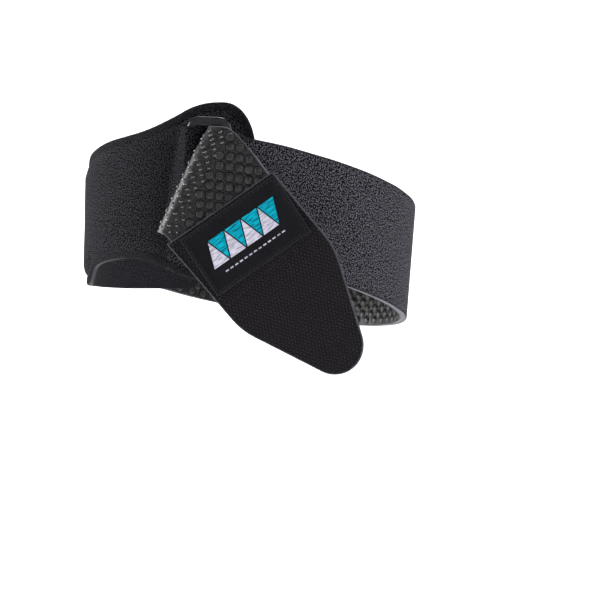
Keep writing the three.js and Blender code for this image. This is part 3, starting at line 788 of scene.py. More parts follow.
# The walls get rows of their own, so that the foam between the two fabrics stands back a little.
walls = [face for face in strap.faces if face.material_index == 2]
wall_edges = {edge for face in walls for edge in face.edges}
upright = [edge for edge in wall_edges if abs(edge.verts[0].co.z - edge.verts[1].co.z) > MM]
made = bmesh.ops.subdivide_edges(strap, edges=upright, cuts=5, use_grid_fill=True)["geom_inner"]
for point in set(newest_points(made)):
    if abs(point.co.z) < FOAM_THICKNESS / 2:
        point.co.y *= 1 - 2 * FOAM_STEP / BELT_WIDTH
keep_flat_map(strap)
lay(strap, belt_surface)


def worn_grain():
    """Grain in two shades, dark up to the noise's level Low and light from its level High."""
    inputs = {"Place": "Vector", "Scale": "Float", "Low": "Float", "High": "Float"}
    group, nodes, given, end = new_group("worn grain", {**inputs, "Dark": "Color", "Light": "Color"})
    grain = nodes.noise(given["Place"], given["Scale"], 1.0)
    worn = nodes.spread(grain, given["Low"], given["High"])
    nodes.feed(end, "Color", nodes.mix(worn, given["Dark"], given["Light"]))
    nodes.feed(end, "Height", grain)
    return group


WORN_GRAIN = worn_grain()


def pale_edge(nodes, colour, pale, width):
    """The colour of a face, with a pale line where the layers beneath show along its cut edge."""
    band = {"Band": pale, "Inner": width * 0.5, "Outer": width, "Share": 1.0}
    return place_group(nodes, EDGE_BAND, Face=colour, **band)["Color"]


def rubber_finish(name, roughness, gloss, cut_edge=None):
    """Soft grip rubber with a fine matt grain, and pale where its cut edge shows."""
    material, nodes, shader = new_finish(name, Roughness=roughness, Specular_IOR_Level=gloss)
    grain = place_group(nodes, WORN_GRAIN, Place=nodes.place(), **RUBBER_GRAIN)
    colour = grain["Color"]
    if cut_edge:
        colour = pale_edge(nodes, colour, grey(cut_edge), RUBBER_PALE_EDGE)
    nodes.feed(shader, "Base Color", colour)
    nodes.bump(shader, grain["Height"], RUBBER_DEPTH, 0.6)
    return material


belt_pile = pile_finish(
    "belt loop pile", hollow=0.002, tip=0.115, tuft=0.7 * MM, rim=0.02, rim_width=1.1 * MM, depth=0.4 * MM
)
grip_rubber = rubber_finish("grip rubber", roughness=0.43, gloss=0.2, cut_edge=0.045)
layered_edge = speckled_finish(
    "layered cut edge",
    roughness=0.8,
    dark=0.05,
    light=0.13,
    scale=2500.0,
    soft=0.6,
    depth=0.1 * MM,
    strength=0.6,
)
belt = finish_piece("belt_strap", strap, [belt_pile, grip_rubber, layered_edge])
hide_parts("belt")

# Grip cells: soft rubber cushions moulded on the belt's inner face, in staggered rows.
# Each is a rounded square that stands on one corner: a low dome inside a thin flat ring, coloured near
# black as painted shade at the dome's foot.
# Near the fold's crease small glossy dots stand in their place.
CELL_ALONG = 5.5 * MM
CELL_ACROSS = 4.8 * MM
CELL_SIZE = 3.35 * MM
CELL_CORNER = 1.1 * MM
CELL_SHADE_RING = 0.22 * MM
CELL_SLOPE = math.radians(39)
CELL_MARGIN = 2.2 * MM
CELL_SUNK = 0.03 * MM
CELL_RINGS = 4
DOT_ALONG = 3.8 * MM
DOT_ACROSS = 3.2 * MM
DOT_RADIUS = 0.55 * MM
DOT_FLATNESS = 0.75
# The crease's place beside the ring's middle, its slant, and how far the dots go from it.
CREASE_PLACE = -8 * MM
CREASE_SLANT = 0.425
CREASE_BAND = 8.5 * MM

cell_rubber = rubber_finish("grip cell rubber", roughness=0.35, gloss=0.3)
dot_rubber = rubber_finish("grip dot rubber", roughness=0.22, gloss=1.0)
# Painted shade: the ring round each dome's foot is near black, as the shade that falls there.
groove_shade = new_finish(
    "painted groove shade", Roughness=0.8, Specular_IOR_Level=0.02, Base_Color=(0.0025, 0.0022, 0.0025, 1)
)[0]


def repeat(shape, places):
    """Copies of one small shape, one at each place, which is a matrix in the flat."""
    pattern = bpy.data.meshes.new("pattern")
    shape.to_mesh(pattern)
    shape.free()
    many = bmesh.new()
    for place in places:
        start = len(many.verts)
        many.from_mesh(pattern)
        many.verts.ensure_lookup_table()
        bmesh.ops.transform(many, matrix=place, verts=many.verts[start:])
    bpy.data.meshes.remove(pattern)
    return many


def staggered(rows, across_step, half_width):
    """Flat places (along, across) in staggered rows. half_width tells how far out a row may go."""
    places = []
    for i, along in enumerate(rows):
        reach = half_width(along)
        count = math.ceil(reach / across_step)
        across = [(j + 0.5 * (i % 2)) * across_step for j in range(-count, count + 1)]
        places += [(along, place) for place in across if abs(place) < reach]
    return places


cell = rectangle(CELL_SIZE, CELL_SIZE)
round_off(cell, cell.verts[:], CELL_CORNER, 2, affect="VERTICES")
bmesh.ops.rotate(cell, verts=cell.verts, matrix=Matrix.Rotation(math.pi / 4, 3, "Z"))
top = cell.faces[:][0]
# The ring round the dome's foot takes material 1, the painted shade.
groove = bmesh.ops.inset_individual(cell, faces=[top], thickness=CELL_SHADE_RING, use_even_offset=True)
for face in groove["faces"]:
    face.material_index = 1
radius = (CELL_SIZE / 2 - CELL_SHADE_RING) / math.sin(CELL_SLOPE)
slope = CELL_SLOPE
for step in range(1, CELL_RINGS):
    flatter = CELL_SLOPE * (1 - step / CELL_RINGS)
    grown = bmesh.ops.extrude_face_region(cell, geom=[top])["geom"]
    top = next(part for part in grown if isinstance(part, bmesh.types.BMFace))
    shrink = math.sin(flatter) / math.sin(slope)
    rise = radius * (math.cos(flatter) - math.cos(slope))
    bmesh.ops.translate(cell, vec=(0, 0, rise), verts=top.verts)
    bmesh.ops.scale(cell, vec=(shrink, shrink, 1), verts=top.verts)
    slope = flatter


def grip_half_width(along):
    """How far out the grip pattern goes: not over the belt's edges, nor over its two ends."""
    return BELT_WIDTH / 2 - CELL_MARGIN if CELL_SIZE < along < belt_length - CELL_SIZE else 0


def grip_places(along_step, across_step, near_crease):
    """Places on the belt's inner face, either near the fold's crease or everywhere else."""
    rows = [(i + 0.5) * along_step / 2 for i in range(int(belt_length / along_step * 2))]
    sunk = -BELT_THICKNESS / 2 - CELL_SUNK
    centres = [(*place, sunk) for place in staggered(rows, across_step, grip_half_width)]
    from_ring = (belt_surface(np.array(centres)) - ring_origin) @ RING_AXES.T
    from_crease = from_ring[:, 0] - CREASE_PLACE - CREASE_SLANT * from_ring[:, 1]
    near = (from_ring[:, 2] > RING_TOP) & (abs(from_crease) < CREASE_BAND)
    flip = Matrix.Rotation(math.pi, 4, "X")
    chosen = [centre for centre, is_near in zip(centres, near) if is_near == near_crease]
    return [Matrix.Translation(centre) @ flip for centre in chosen]


dot = bmesh.new()
bmesh.ops.create_icosphere(dot, subdivisions=2, radius=DOT_RADIUS)
bmesh.ops.scale(dot, vec=(1, 1, DOT_FLATNESS), verts=dot.verts)
dots = repeat(dot, grip_places(DOT_ALONG, DOT_ACROSS, True))
lay(dots, belt_surface)
dots = finish_piece("grip_dots", dots, [dot_rubber], corner=40)
cells = repeat(cell, grip_places(CELL_ALONG, CELL_ACROSS, False))
lay(cells, belt_surface)
grip = finish_piece("grip_cells", cells, [cell_rubber, groove_shade], corner=30)

# Rear seam: a box of long stitches that sews the belt's end over the pad's rear end.
# It is stout dark thread, in straight lines through the belt and the pad.
SEAM_START = 2.5 * MM
SEAM_END = 13 * MM
SEAM_MARGIN = 3 * MM
STITCH_LENGTH = 2.3 * MM
STITCH_PITCH = 2.9 * MM
THREAD = 0.5 * MM
THREAD_FLATNESS = 0.8

dark_thread = new_finish(
    "dark thread", Roughness=0.7, Specular_IOR_Level=0.1, Base_Color=grey(0.014)
)[0]


def stitch_shape(length, width):
    """One stitch: a short length of thread that lies along X and dips at both ends."""
    stitch = bmesh.new()
    bmesh.ops.create_uvsphere(stitch, u_segments=8, v_segments=5, radius=0.5)
    bmesh.ops.rotate(stitch, verts=stitch.verts, matrix=Matrix.Rotation(math.pi / 2, 3, "Y"))
    bmesh.ops.scale(stitch, vec=(length, width, width * THREAD_FLATNESS), verts=stitch.verts)
    return stitch


def stitch_places(corners, out, pitch):
    """Places of the stitches along straight lines from corner to corner in the flat."""
    places = []
    for (x0, y0), (x1, y1) in zip(corners, corners[1:]):
        length = math.hypot(x1 - x0, y1 - y0)
        count = max(1, round(length / pitch))
        turn = Matrix.Rotation(math.atan2(y1 - y0, x1 - x0), 4, "Z")
        for i in range(count):
            share = (i + 0.5) / count
            place = Matrix.Translation((x0 + (x1 - x0) * share, y0 + (y1 - y0) * share, out))
            places.append(place @ turn)
    return places


def sew(name, places, length, width, surface):
    """Piece of dark thread, with one stitch at each place."""
    stitches = repeat(stitch_shape(length, width), places)
    lay(stitches, surface)
    return finish_piece(name, stitches, [dark_thread], corner=80)


def box_corners(low, high, left, right):
    return [(low, left), (high, left), (high, right), (low, right), (low, left)]


seam_reach = BELT_WIDTH / 2 - SEAM_MARGIN
places = stitch_places(
    box_corners(SEAM_START, SEAM_END, -seam_reach, seam_reach), BELT_THICKNESS / 2, STITCH_PITCH
)
sew("rear_seam", places, STITCH_LENGTH, THREAD, belt_surface)

# Ring keeper: a doubled tape of the pad's own brushed fabric that wraps the ring's left bar.
# Both of its plies are sewn to the pad in a narrow flange, and it is slacker towards its lower end.
# Beside that seam the pad's pile is painted darker: painted shade that the keeper throws on it.
KEEPER_WIDTH = 39.4 * MM
KEEPER_RAISE = 3.2 * MM
KEEPER_FLANGE = 2 * MM
KEEPER_SLACK = 4.5 * MM
KEEPER_ROUND = KEEPER_THICKNESS + 0.7 * MM + GAP
KEEPER_EDGE = 0.4 * MM
KEEPER_INWARD = (0.77, -0.64)
KEEPER_RIDGE = {"shoulder": (0.98, 0.84), "waist": (0.5, 0.5)}
KEEPER_STRETCH = 0.45
KEEPER_STRETCH_PLACE = 0.66
KEEPER_STRETCH_REACH = 0.1
KEEPER_FLANGE_SHARE = 0.32
KEEPER_EASE = 2.5 * KEEPER_FLANGE
KEEPER_SHARES = np.linspace(0, 1, 20)
KEEPER_ROWS = 50
KEEPER_COLUMNS = 36
# Heights of the under and the upper ply's middle in the flange, as shares of the thickness.
UNDER_PLY = {"end": 0.15, "foot": 0.25}
UPPER_PLY = {"end": 0.45, "foot": 0.75}
# Painted shade beside the keeper: how dark it is at most, how far it reaches, and where down the keeper it
# starts and is full.
KEEPER_SHADE_SHARE = 0.62
KEEPER_SHADE_REACH = 17 * MM
KEEPER_SHADE_FROM = -0.3
KEEPER_SHADE_FULL = 0.2


def keeper_stations(shares):
    """Rows of points across the keeper's fabric: from its flange under the bar, round it and back."""
    along = KEEPER_RAISE + (0.5 - shares) * KEEPER_WIDTH
    slack = KEEPER_SLACK * shares
    left = -RING_WIDTH / 2
    centre = left + RING_BAR + GAP + KEEPER_THICKNESS - KEEPER_ROUND
    half = KEEPER_THICKNESS / 2
    foot = left - 2 * KEEPER_THICKNESS - slack
    end = foot - KEEPER_FLANGE

    def base(across):
        return pad_surface(across) + GAP

    def arc(middle, degrees):
        radius = KEEPER_ROUND - half
        angle = math.radians(degrees)
        return centre + radius * math.cos(angle), middle + radius * math.sin(angle)

    def ridge(name):
        across, rise = KEEPER_RIDGE[name]
        outer = blend(foot, left, across), blend(base(foot), KEEPER_TOP, rise)
        return outer[0] + KEEPER_INWARD[0] * half, outer[1] + KEEPER_INWARD[1] * half

    low = base(centre) + KEEPER_ROUND
    high = KEEPER_TOP - KEEPER_ROUND
    path = [
        (end, base(end) + UNDER_PLY["end"] * KEEPER_THICKNESS),
        (foot, base(foot) + UNDER_PLY["foot"] * KEEPER_THICKNESS),
        (left, base(left) + half),
        *(arc(low, degrees) for degrees in (-90, -45, 0)),
        *(arc(high, degrees) for degrees in (0, 45, 90)),
        (left, KEEPER_TOP - half),
        ridge("shoulder"),
        ridge("waist"),
        (foot, base(foot) + UPPER_PLY["foot"] * KEEPER_THICKNESS),
        (end, base(end) + UPPER_PLY["end"] * KEEPER_THICKNESS),
    ]
    return np.array([at_ring(across, along, out) for across, out in path])


stations = keeper_stations(KEEPER_SHARES)
keeper_surface, keeper_length = drape(stations, [0, len(stations) - 1], KEEPER_WIDTH)


def keeper_face(side):
    """Half the fabric's thickness to one side, thinned where its two plies are sewn together."""

    def height(places, distance):
        from_end = np.minimum(places[:, 0], keeper_length - places[:, 0])
        ply = blend(KEEPER_FLANGE_SHARE, 1, smoothstep(from_end, 0, KEEPER_EASE))
        past_bar = (places[:, 0] / keeper_length - KEEPER_STRETCH_PLACE) / KEEPER_STRETCH_REACH
        ply = ply * (1 - KEEPER_STRETCH * np.exp(-(past_bar**2)))
        return side * (KEEPER_THICKNESS / 2 - edge_drop(distance, KEEPER_EDGE)) * ply

    return height


along = with_edge_rows(0, keeper_length, KEEPER_ROWS)
across = with_edge_rows(-KEEPER_WIDTH / 2, KEEPER_WIDTH / 2, KEEPER_COLUMNS)
tape = flat_cloth(*np.meshgrid(along, across, indexing="ij"))
sides = rectangle_edge((0, keeper_length), (-KEEPER_WIDTH / 2, KEEPER_WIDTH / 2), 300, 0)
thicken(tape, sides, keeper_face(-1), keeper_face(1))
keep_flat_map(tape)
lay(tape, keeper_surface)
keeper_pile = pile_finish(
    "keeper pile", hollow=0.001, tip=0.03, tuft=0.7 * MM, rim=0.006, rim_width=0.7 * MM, depth=0.4 * MM
)
keeper = finish_piece("keeper_loop", tape, [keeper_pile, pad_lining, foam_edge])
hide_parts("ring_keeper")

# How much painted shade the pad's pile gets at each of its points, as if thrown by the keeper: most at the
# keeper's foot.
pad_places = np.array([point.co[:] for point in pad.data.vertices])
from_ring = (pad_places - ring_origin) @ RING_AXES.T
down_keeper = 0.5 - (from_ring[:, 1] - KEEPER_RAISE) / KEEPER_WIDTH
keeper_foot = -RING_WIDTH / 2 - 2 * KEEPER_THICKNESS - KEEPER_SLACK * down_keeper
beside = keeper_foot - from_ring[:, 0]
keeper_shade = KEEPER_SHADE_SHARE * smoothstep(beside, -MM, MM) * np.exp(-np.abs(beside) / KEEPER_SHADE_REACH)
keeper_shade = keeper_shade * smoothstep(down_keeper, KEEPER_SHADE_FROM, KEEPER_SHADE_FULL)
layer = pad.data.attributes.new("keeper_shade", "FLOAT", "POINT")
layer.data.foreach_set("value", keeper_shade)

# Fastening tab: a stiff ribbed tape that is sewn over the belt's end and tapers to a round tip.
# Its free part carries the hooks beneath, which grip the belt's loop pile.
TAB_WIDTH = 46.5 * MM
TAB_THICKNESS = 1.5 * MM
TAB_TAPER_START = 48.5 * MM
TAB_TAPER = math.radians(23.7)
TAB_TIP_RADIUS = 11 * MM
TAB_TIP_TURN = math.radians(86)
TAPER_DROP = TAB_WIDTH / 2 - TAB_TIP_RADIUS / math.cos(TAB_TAPER)
TAB_TIP_CENTRE = TAB_TAPER_START + TAPER_DROP / math.tan(TAB_TAPER)
TAB_END = TAB_TIP_CENTRE + TAB_TIP_RADIUS * math.sin(TAB_TIP_TURN)
TAB_EDGE = 0.5 * MM
TAB_ROWS = 70
TAB_COLUMNS = 30
TAB_OVER_BELT = BELT_THICKNESS / 2 + GAP
TAB_CHANNEL_PLACE = 2 * MM
TAB_CHANNEL_WIDTH = 0.7 * MM
TAB_CHANNEL_DEPTH = 0.22 * MM
TAB_CHANNEL_FADE = 4 * MM
TAB_SEWN_GAP = 0.05 * MM
LABEL_SKEW = math.radians(7)
RIB_PITCH = 1.15 * MM
FLOAT_PITCH = 1.45 * MM
# Woven ribs: how far they sway and wave, in ribs, and how round the ribs and their floats are.
RIB_SWAY = 1.3
RIB_SWAY_SCALE = 260.0
RIB_WAVE = 0.2
RIB_ROUND = 0.75
FLOAT_ROUND = 0.28
FIBRE_SHARE = 0.5
FIBRE_SCALE = 2600.0
SELVEDGE_WIDTH = 0.6 * MM


def tab_half_width(along):
    """Half the tab's width along the flap: straight, then tapering, then round the tip."""
    tangent = TAB_TIP_CENTRE + TAB_TIP_RADIUS * math.sin(TAB_TAPER)
    tip = np.sqrt(np.clip(TAB_TIP_RADIUS**2 - (along - TAB_TIP_CENTRE) ** 2, 0, None))
    soft = TAB_TIP_RADIUS / 2
    past = np.clip(along - TAB_TAPER_START + soft, 0, 2 * soft)
    eased = past**2 / (4 * soft) + np.clip(along - TAB_TAPER_START - soft, 0, None)
    return np.where(along > tangent, tip, TAB_WIDTH / 2 - eased * math.tan(TAB_TAPER))


def tab_place(along, across):
    """The tab's upper edge is cut askew, to suit the label."""
    askew = 1 - smoothstep(along, TAB_START, TAB_TAPER_START)
    return along + askew * math.tan(LABEL_SKEW) * across, across


def flap_surface(places):
    """Where flat places of the tab come to lie: along the flap, across it, and above the belt's middle."""
    return at_ring(*flap_place(places[:, 0], places[:, 1], places[:, 2]).T)


def woven_ribs():
    """Woven ribs: rows of short raised floats, each row shifted by half a float, a little uneven."""
    inputs = {"Place": "Vector", "Rib": "Float", "Float": "Float", "Hollow": "Color", "Thread": "Color"}
    group, nodes, given, end = new_group("woven ribs", inputs)
    sway = nodes.noise(given["Place"], RIB_SWAY_SCALE)
    parts = nodes.add("ShaderNodeSeparateXYZ", Vector=given["Place"]).outputs
    float_place = nodes.math("DIVIDE", parts["Y"], given["Float"])
    wave = nodes.math("SINE", nodes.math("MULTIPLY", float_place, 2 * math.pi))
    row = nodes.math("MULTIPLY_ADD", sway, RIB_SWAY, nodes.math("DIVIDE", parts["X"], given["Rib"]))
    row = nodes.math("MULTIPLY_ADD", wave, RIB_WAVE, row)
    odd = nodes.math("MULTIPLY", nodes.math("FLOORED_MODULO", nodes.math("FLOOR", row), 2.0), 0.5)
    turn = nodes.math("MULTIPLY", nodes.math("ADD", float_place, odd), 2 * math.pi)
    rib = nodes.math("SINE", nodes.math("MULTIPLY", nodes.math("FRACT", row), math.pi))
    crown = nodes.math("MULTIPLY_ADD", nodes.math("COSINE", turn), FLOAT_ROUND, 1 - FLOAT_ROUND)
    fibre = nodes.math("SUBTRACT", nodes.noise(given["Place"], FIBRE_SCALE), 0.5)
    height = nodes.math("MULTIPLY", nodes.math("MULTIPLY_ADD", rib, RIB_ROUND, 1 - RIB_ROUND), crown)
    height = nodes.math("MULTIPLY_ADD", fibre, FIBRE_SHARE, height)
    nodes.feed(end, "Color", nodes.mix(nodes.spread(height, 0.2, 0.95), given["Hollow"], given["Thread"]))
    nodes.feed(end, "Height", height)
    return group


RIBS = woven_ribs()


def woven_finish(name, rib, thread_pitch, hollow, thread, selvedge, depth, roughness):
    """Woven tape: ribs that follow its own flat map, and a firmer selvedge in its own colour."""
    material, nodes, shader = new_finish(name, Roughness=roughness, Specular_IOR_Level=0.06)
    threads = {"Rib": rib, "Float": thread_pitch, "Hollow": hollow, "Thread": thread}
    ribs = place_group(nodes, RIBS, Place=nodes.flat_place(), **threads)
    nodes.feed(shader, "Base Color", pale_edge(nodes, ribs["Color"], selvedge, SELVEDGE_WIDTH))
    nodes.bump(shader, ribs["Height"], depth)
    return material


tab_weave = woven_finish(
    "ribbed tape",
    rib=RIB_PITCH,
    thread_pitch=FLOAT_PITCH,
    hollow=(0.003, 0.0025, 0.003, 1),
    thread=(0.0175, 0.015, 0.018, 1),
    selvedge=grey(0.045),
    depth=0.25 * MM,
    roughness=0.62,
)
along = TAB_START + with_edge_rows(0, TAB_END - TAB_START, TAB_ROWS)
columns = with_edge_rows(-TAB_WIDTH / 2, TAB_WIDTH / 2, TAB_COLUMNS) / (TAB_WIDTH / 2)
along, across = np.meshgrid(along, columns, indexing="ij")
tongue = flat_cloth(*tab_place(along, across * tab_half_width(along)))
follow = np.linspace(TAB_START, TAB_END, 900)
edges = [tab_place(follow, side * tab_half_width(follow)) for side in (-1, 1)]
edges.append(tab_place(np.full(200, TAB_START), np.linspace(-1, 1, 200) * TAB_WIDTH / 2))
edges.append(tab_place(np.full(20, TAB_END), np.linspace(-1, 1, 20) * tab_half_width(TAB_END)))
tab_edge = np.concatenate([np.stack(edge, axis=1) for edge in edges])


def tab_top(places, distance):
    """The tab's face, with the channel that its stitches pull in where it is sewn to the belt."""
    sewn = 1 - smoothstep(places[:, 0], FLAP_BELT_END, FLAP_BELT_END + TAB_CHANNEL_FADE)
    channel = TAB_CHANNEL_DEPTH * np.exp(-(((distance - TAB_CHANNEL_PLACE) / TAB_CHANNEL_WIDTH) ** 2))
    return TAB_OVER_BELT + TAB_THICKNESS - edge_drop(distance, TAB_EDGE) - channel * sewn


def tab_bottom(places, distance):
    """The tab's back, which lies close on the belt where it is sewn."""
    sewn = 1 - smoothstep(places[:, 0], FLAP_BELT_END - MM, FLAP_BELT_END + MM)
    return TAB_OVER_BELT - sewn * (GAP - TAB_SEWN_GAP) + edge_drop(distance, TAB_EDGE)


thicken(tongue, tab_edge, tab_bottom, tab_top)
keep_flat_map(tongue)
lay(tongue, flap_surface)
tab = finish_piece("tab_tape", tongue, [tab_weave] * 3)
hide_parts("hook_tab")

# Hooks: a field of short stiff stalks with heads, which grip the belt's loop pile.
# They are black nylon, moulded on the back of the tab's free part.
HOOK_PITCH = 1.3 * MM
HOOK_HEIGHT = 0.8 * MM
HOOK_ROOT = 0.05 * MM
HOOK_STALK = {"radius1": 0.14 * MM, "radius2": 0.18 * MM}
HOOK_HEAD = {"radius1": 0.2 * MM, "radius2": 0.36 * MM, "depth": 0.2 * MM}
HOOK_MARGIN = 3 * MM
HOOK_START = FLAP_BELT_END + 4 * MM


def hook_half_width(along):
    """How far out the hooks go: the tab's rim and its tip are left bare."""
    return tab_half_width(along) - HOOK_MARGIN if along < TAB_END - HOOK_MARGIN else 0


hook_nylon = speckled_finish("hook nylon", roughness=0.35, dark=0.022, light=0.045, scale=400.0)
hook = bmesh.new()
stalk = Matrix.Translation((0, 0, -HOOK_HEIGHT / 2 + HOOK_ROOT))
head = Matrix.Translation((0, 0, -HOOK_HEIGHT))
bmesh.ops.create_cone(hook, segments=5, depth=HOOK_HEIGHT, matrix=stalk, **HOOK_STALK)
bmesh.ops.create_cone(hook, segments=6, cap_ends=True, matrix=head, **HOOK_HEAD)
rows = [HOOK_START + i * HOOK_PITCH for i in range(int((TAB_END - HOOK_START) / HOOK_PITCH))]
centres = staggered(rows, HOOK_PITCH, hook_half_width)
hooks = repeat(hook, [Matrix.Translation((*centre, TAB_OVER_BELT)) for centre in centres])
lay(hooks, flap_surface)
hooks = finish_piece("hook_field", hooks, [hook_nylon], corner=60)

# Label: a black woven patch of fine ribs, with its edges folded under as a raised hem.
# It is sewn on the tab a little askew.
LABEL_WIDTH = 42 * MM
LABEL_HEIGHT = 24.5 * MM
LABEL_THICKNESS = 0.7 * MM
LABEL_INSET = 1.6 * MM
LABEL_OFFSET = 0.9 * MM
LABEL_MIDDLE = TAB_START + LABEL_INSET + LABEL_HEIGHT / 2
LABEL_TOP = TAB_OVER_BELT + TAB_THICKNESS + GAP + LABEL_THICKNESS
LABEL_BASE = TAB_OVER_BELT + TAB_THICKNESS + 0.04 * MM
HEM_WIDTH = 2.2 * MM
HEM_HEIGHT = 0.2 * MM
HEM_STEP = 0.3 * MM
LABEL_EDGE = 0.3 * MM
LABEL_ROWS = 16
LABEL_COLUMNS = 30

label_weave = woven_finish(
    "label weave",
    rib=0.9 * MM,
    thread_pitch=0.8 * MM,
    hollow=(0.003, 0.003, 0.004, 1),
    thread=(0.01, 0.0103, 0.0132, 1),
    selvedge=(0.014, 0.014, 0.017, 1),
    depth=0.06 * MM,
    roughness=0.55,
)


def label_surface(places):
    """Where flat places of the label come to lie: down it, across it, and above the belt's middle."""
    down, side = places[:, 0], places[:, 1] + LABEL_OFFSET
    along = LABEL_MIDDLE + down * math.cos(LABEL_SKEW) + side * math.sin(LABEL_SKEW)
    across = side * math.cos(LABEL_SKEW) - down * math.sin(LABEL_SKEW)
    return flap_surface(np.stack([along, across, places[:, 2]], axis=1))


def label_face(places, distance):
    """The label's face, a little lower inside its hem."""
    inside = smoothstep(distance, HEM_WIDTH - HEM_STEP, HEM_WIDTH + HEM_STEP)
    return LABEL_TOP - HEM_HEIGHT * inside - edge_drop(distance, LABEL_EDGE)


half_height, half_width = LABEL_HEIGHT / 2, LABEL_WIDTH / 2
along = with_edge_rows(-half_height, half_height, LABEL_ROWS)
across = with_edge_rows(-half_width, half_width, LABEL_COLUMNS)
patch = flat_cloth(*np.meshgrid(along, across, indexing="ij"))
outline = rectangle_edge((-half_height, half_height), (-half_width, half_width), 200, 350)
thicken(patch, outline, lambda places, distance: np.full(len(places), LABEL_BASE), label_face)
keep_flat_map(patch)
lay(patch, label_surface)
label = finish_piece("label_patch", patch, [label_weave] * 3)
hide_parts("label")

# Label design: a plain zigzag of triangles, teal and pale lilac by turns, over a running line.
# Both are raised patches of bright satin thread, woven into the label.
TRIANGLE_PITCH = 7.4 * MM
TRIANGLE_HEIGHT = 10.4 * MM
TRIANGLE_COUNT = 8
TRIANGLE_GAP = 0.9
BAND_DOWN = -1.2 * MM
LINE_DOWN = 6.6 * MM
DASH_LENGTH = 1.3 * MM
DASH_WIDTH = 0.5 * MM
DASH_PITCH = 2.1 * MM
DASH_COUNT = 13
RAISED = 0.16 * MM
RAISED_EDGE = 0.09 * MM
RAISED_BASE = LABEL_TOP - HEM_HEIGHT - RAISED
SATIN_THREADS = (1500, 260, 0)
SATIN_GRAIN = {"Scale": 1.0, "Low": 0.3, "High": 0.66}
SATIN_DEPTH = 0.2 * MM


def satin_finish(name, shade, light):
    """Satin stitch: bright threads that lie close, side by side, a little uneven."""
    material, nodes, shader = new_finish(name, Roughness=0.5, Specular_IOR_Level=0.06)
    flat_place = nodes.flat_place()
    drawn_out = nodes.add(
        "ShaderNodeVectorMath", {"operation": "MULTIPLY"}, i0=flat_place, i1=SATIN_THREADS
    ).outputs[0]
    threads = place_group(nodes, WORN_GRAIN, Place=drawn_out, Dark=shade, Light=light, **SATIN_GRAIN)
    nodes.feed(shader, "Base Color", threads["Color"])
    nodes.bump(shader, threads["Height"], SATIN_DEPTH)
    return material


def raised_design(name, shape, places, finish):
    """Piece of the design: a flat shape made thick, with soft edges, at each of its places."""
    raise_faces(shape, 2 * RAISED)
    round_off(shape, shape.edges[:], RAISED_EDGE, 2)
    pattern = repeat(shape, places)
    keep_flat_map(pattern)
    lay(pattern, label_surface)
    return finish_piece(name, pattern, [finish], corner=40)


teal = satin_finish("teal thread", (0.0, 0.1, 0.15, 1), (0.0, 0.36, 0.48, 1))
lilac = satin_finish("lilac thread", (0.27, 0.26, 0.32, 1), (0.57, 0.55, 0.65, 1))
for name, finish, phase, turn in (("zigzag_teal", teal, 0, 0), ("zigzag_lilac", lilac, 1, math.pi)):
    shape = bmesh.new()
    bmesh.ops.create_circle(shape, cap_ends=True, segments=3, radius=1)
    middle = sum((point.co for point in shape.verts), Vector()) / 3
    bmesh.ops.translate(shape, verts=shape.verts, vec=-middle)
    apex = max(shape.verts, key=lambda point: point.co.length)
    to_x = Matrix.Rotation(-math.atan2(apex.co.y, apex.co.x), 3, "Z")
    bmesh.ops.rotate(shape, verts=shape.verts, matrix=to_x)
    reach = TRIANGLE_HEIGHT / 1.5 * TRIANGLE_GAP
    wide = TRIANGLE_PITCH / math.sqrt(3) * TRIANGLE_GAP
    bmesh.ops.scale(shape, verts=shape.verts, vec=(reach, wide, 1))
    down = BAND_DOWN - TRIANGLE_HEIGHT / 6 * math.cos(turn)
    places = []
    for i in range(phase, TRIANGLE_COUNT + phase, 2):
        across = (TRIANGLE_COUNT / 2 - i - 0.5) * TRIANGLE_PITCH / 2
        places.append(Matrix.Translation((down, across, RAISED_BASE)) @ Matrix.Rotation(turn, 4, "Z"))
    raised_design(name, shape, places, finish)

across = [(i - (DASH_COUNT - 1) / 2) * DASH_PITCH for i in range(DASH_COUNT)]
places = [Matrix.Translation((LINE_DOWN, place, RAISED_BASE)) for place in across]
raised_design("running_line", rectangle(DASH_WIDTH, DASH_LENGTH), places, lilac)

# Label stitches: a line of fine dark thread through the hem, all round the label.
# It goes through the tab beneath, and so holds the label on.
HEM_STITCH = 1.1 * MM
HEM_PITCH = 1.9 * MM
HEM_LENGTH = 1.5 * MM
HEM_THREAD = 0.3 * MM

down, out = half_height - HEM_STITCH, half_width - HEM_STITCH
places = stitch_places(box_corners(-down, down, -out, out), LABEL_TOP, HEM_PITCH)
stitches = sew("label_stitches", places, HEM_LENGTH, HEM_THREAD, label_surface)

# Tab stitches: lines of dark thread down both sides of the tab and across it by the belt's end.
# They sew the tab to the belt, and pull a shallow channel into its face.
TAB_STITCH_START = TAB_START + 2 * MM
TAB_STITCH_END = FLAP_BELT_END + 1.8 * MM
TAB_STITCH_PITCH = 2.2 * MM
TAB_STITCH_LENGTH = 1.7 * MM
TAB_STITCH_THREAD = 0.34 * MM
TAB_STITCH_OUT = TAB_OVER_BELT + TAB_THICKNESS - 0.05 * MM

inset = TAB_WIDTH / 2 - TAB_CHANNEL_PLACE
left, right = (
    [tab_place(along, side) for along in (TAB_STITCH_START, TAB_STITCH_END)] for side in (-inset, inset)
)
places = []
for line in (left, right, [left[1], right[1]]):
    places += stitch_places(line, TAB_STITCH_OUT, TAB_STITCH_PITCH)
sew("tab_stitches", places, TAB_STITCH_LENGTH, TAB_STITCH_THREAD, flap_surface)

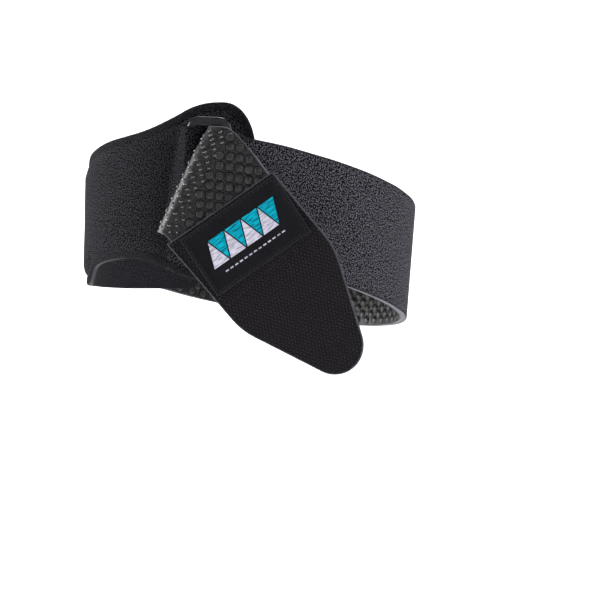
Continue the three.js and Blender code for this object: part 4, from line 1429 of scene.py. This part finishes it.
# Stage: a wide pale dish, turned from one outline, whose floor curves up into a backdrop all round.
# Its floor lies well below the strap.
FLOOR_HEIGHT = -0.42
DISH = ((0.0, 0.0), (2.4, 0.0), (2.9, 0.12), (3.2, 0.5), (3.3, 1.1), (3.3, 2.2))
dish = bmesh.new()
points = [dish.verts.new((radius, 0, FLOOR_HEIGHT + rise)) for radius, rise in DISH]
edges = [dish.edges.new(pair) for pair in zip(points, points[1:])]
bmesh.ops.spin(
    dish, geom=points + edges, cent=(0, 0, 0), axis=(0, 0, 1), angle=2 * math.pi, steps=64, use_merge=True
)
bmesh.ops.remove_doubles(dish, verts=dish.verts, dist=MM)
bmesh.ops.recalc_face_normals(dish, faces=dish.faces)
bmesh.ops.reverse_faces(dish, faces=dish.faces)
mesh = bpy.data.meshes.new("stage_dish")
dish.to_mesh(mesh)
dish.free()
mesh.shade_smooth()
mesh.materials.append(new_finish("pale floor", Base_Color=(0.9, 0.905, 0.91, 1), Roughness=0.9)[0])
stage = bpy.data.objects.new("stage_dish", mesh)
bpy.context.scene.collection.objects.link(stage)

# Light: a bright even studio. Soft lamps stand at both sides, the left one stronger and a little
# behind, with a weak one in front, one above, and one that lights the backdrop.
# Each has its name, place, the point that it is aimed at, its width and height, and its power.
STUDIO_GLOW = 0.12
LAMPS = (
    ("left_lamp", (-1.7, 0.25, 0.4), (0, 0, 0), (0.8, 1.0), 60),
    ("right_lamp", (1.6, -0.45, 0.6), (0, 0, 0), (0.7, 1.8), 27),
    ("front_lamp", (0.2, -1.9, 0.9), (0, 0, 0), (1.2, 1.2), 5),
    ("top_lamp", (0.1, 0.2, 2.8), (0, 0, 0), (0.9, 0.9), 34),
    ("backdrop_lamp", (0.0, 1.0, 2.7), (0, 3.2, 0.4), (2, 2), 110),
)
for name, place, aim, (width, height), power in LAMPS:
    lamp = bpy.data.lights.new(name, "AREA")
    lamp.shape = "RECTANGLE"
    lamp.size = width
    lamp.size_y = height
    lamp.energy = power
    holder = bpy.data.objects.new(name, lamp)
    holder.location = place
    holder.rotation_euler = (Vector(aim) - Vector(place)).to_track_quat("-Z", "Y").to_euler()
    holder.visible_camera = False
    bpy.context.scene.collection.objects.link(holder)
world = bpy.data.worlds.new("studio")
world.use_nodes = True
glow = world.node_tree.nodes["Background"].inputs
glow["Color"].default_value = (1, 1, 1, 1)
glow["Strength"].default_value = STUDIO_GLOW
bpy.context.scene.world = world
bpy.context.scene.view_settings.view_transform = "Standard"
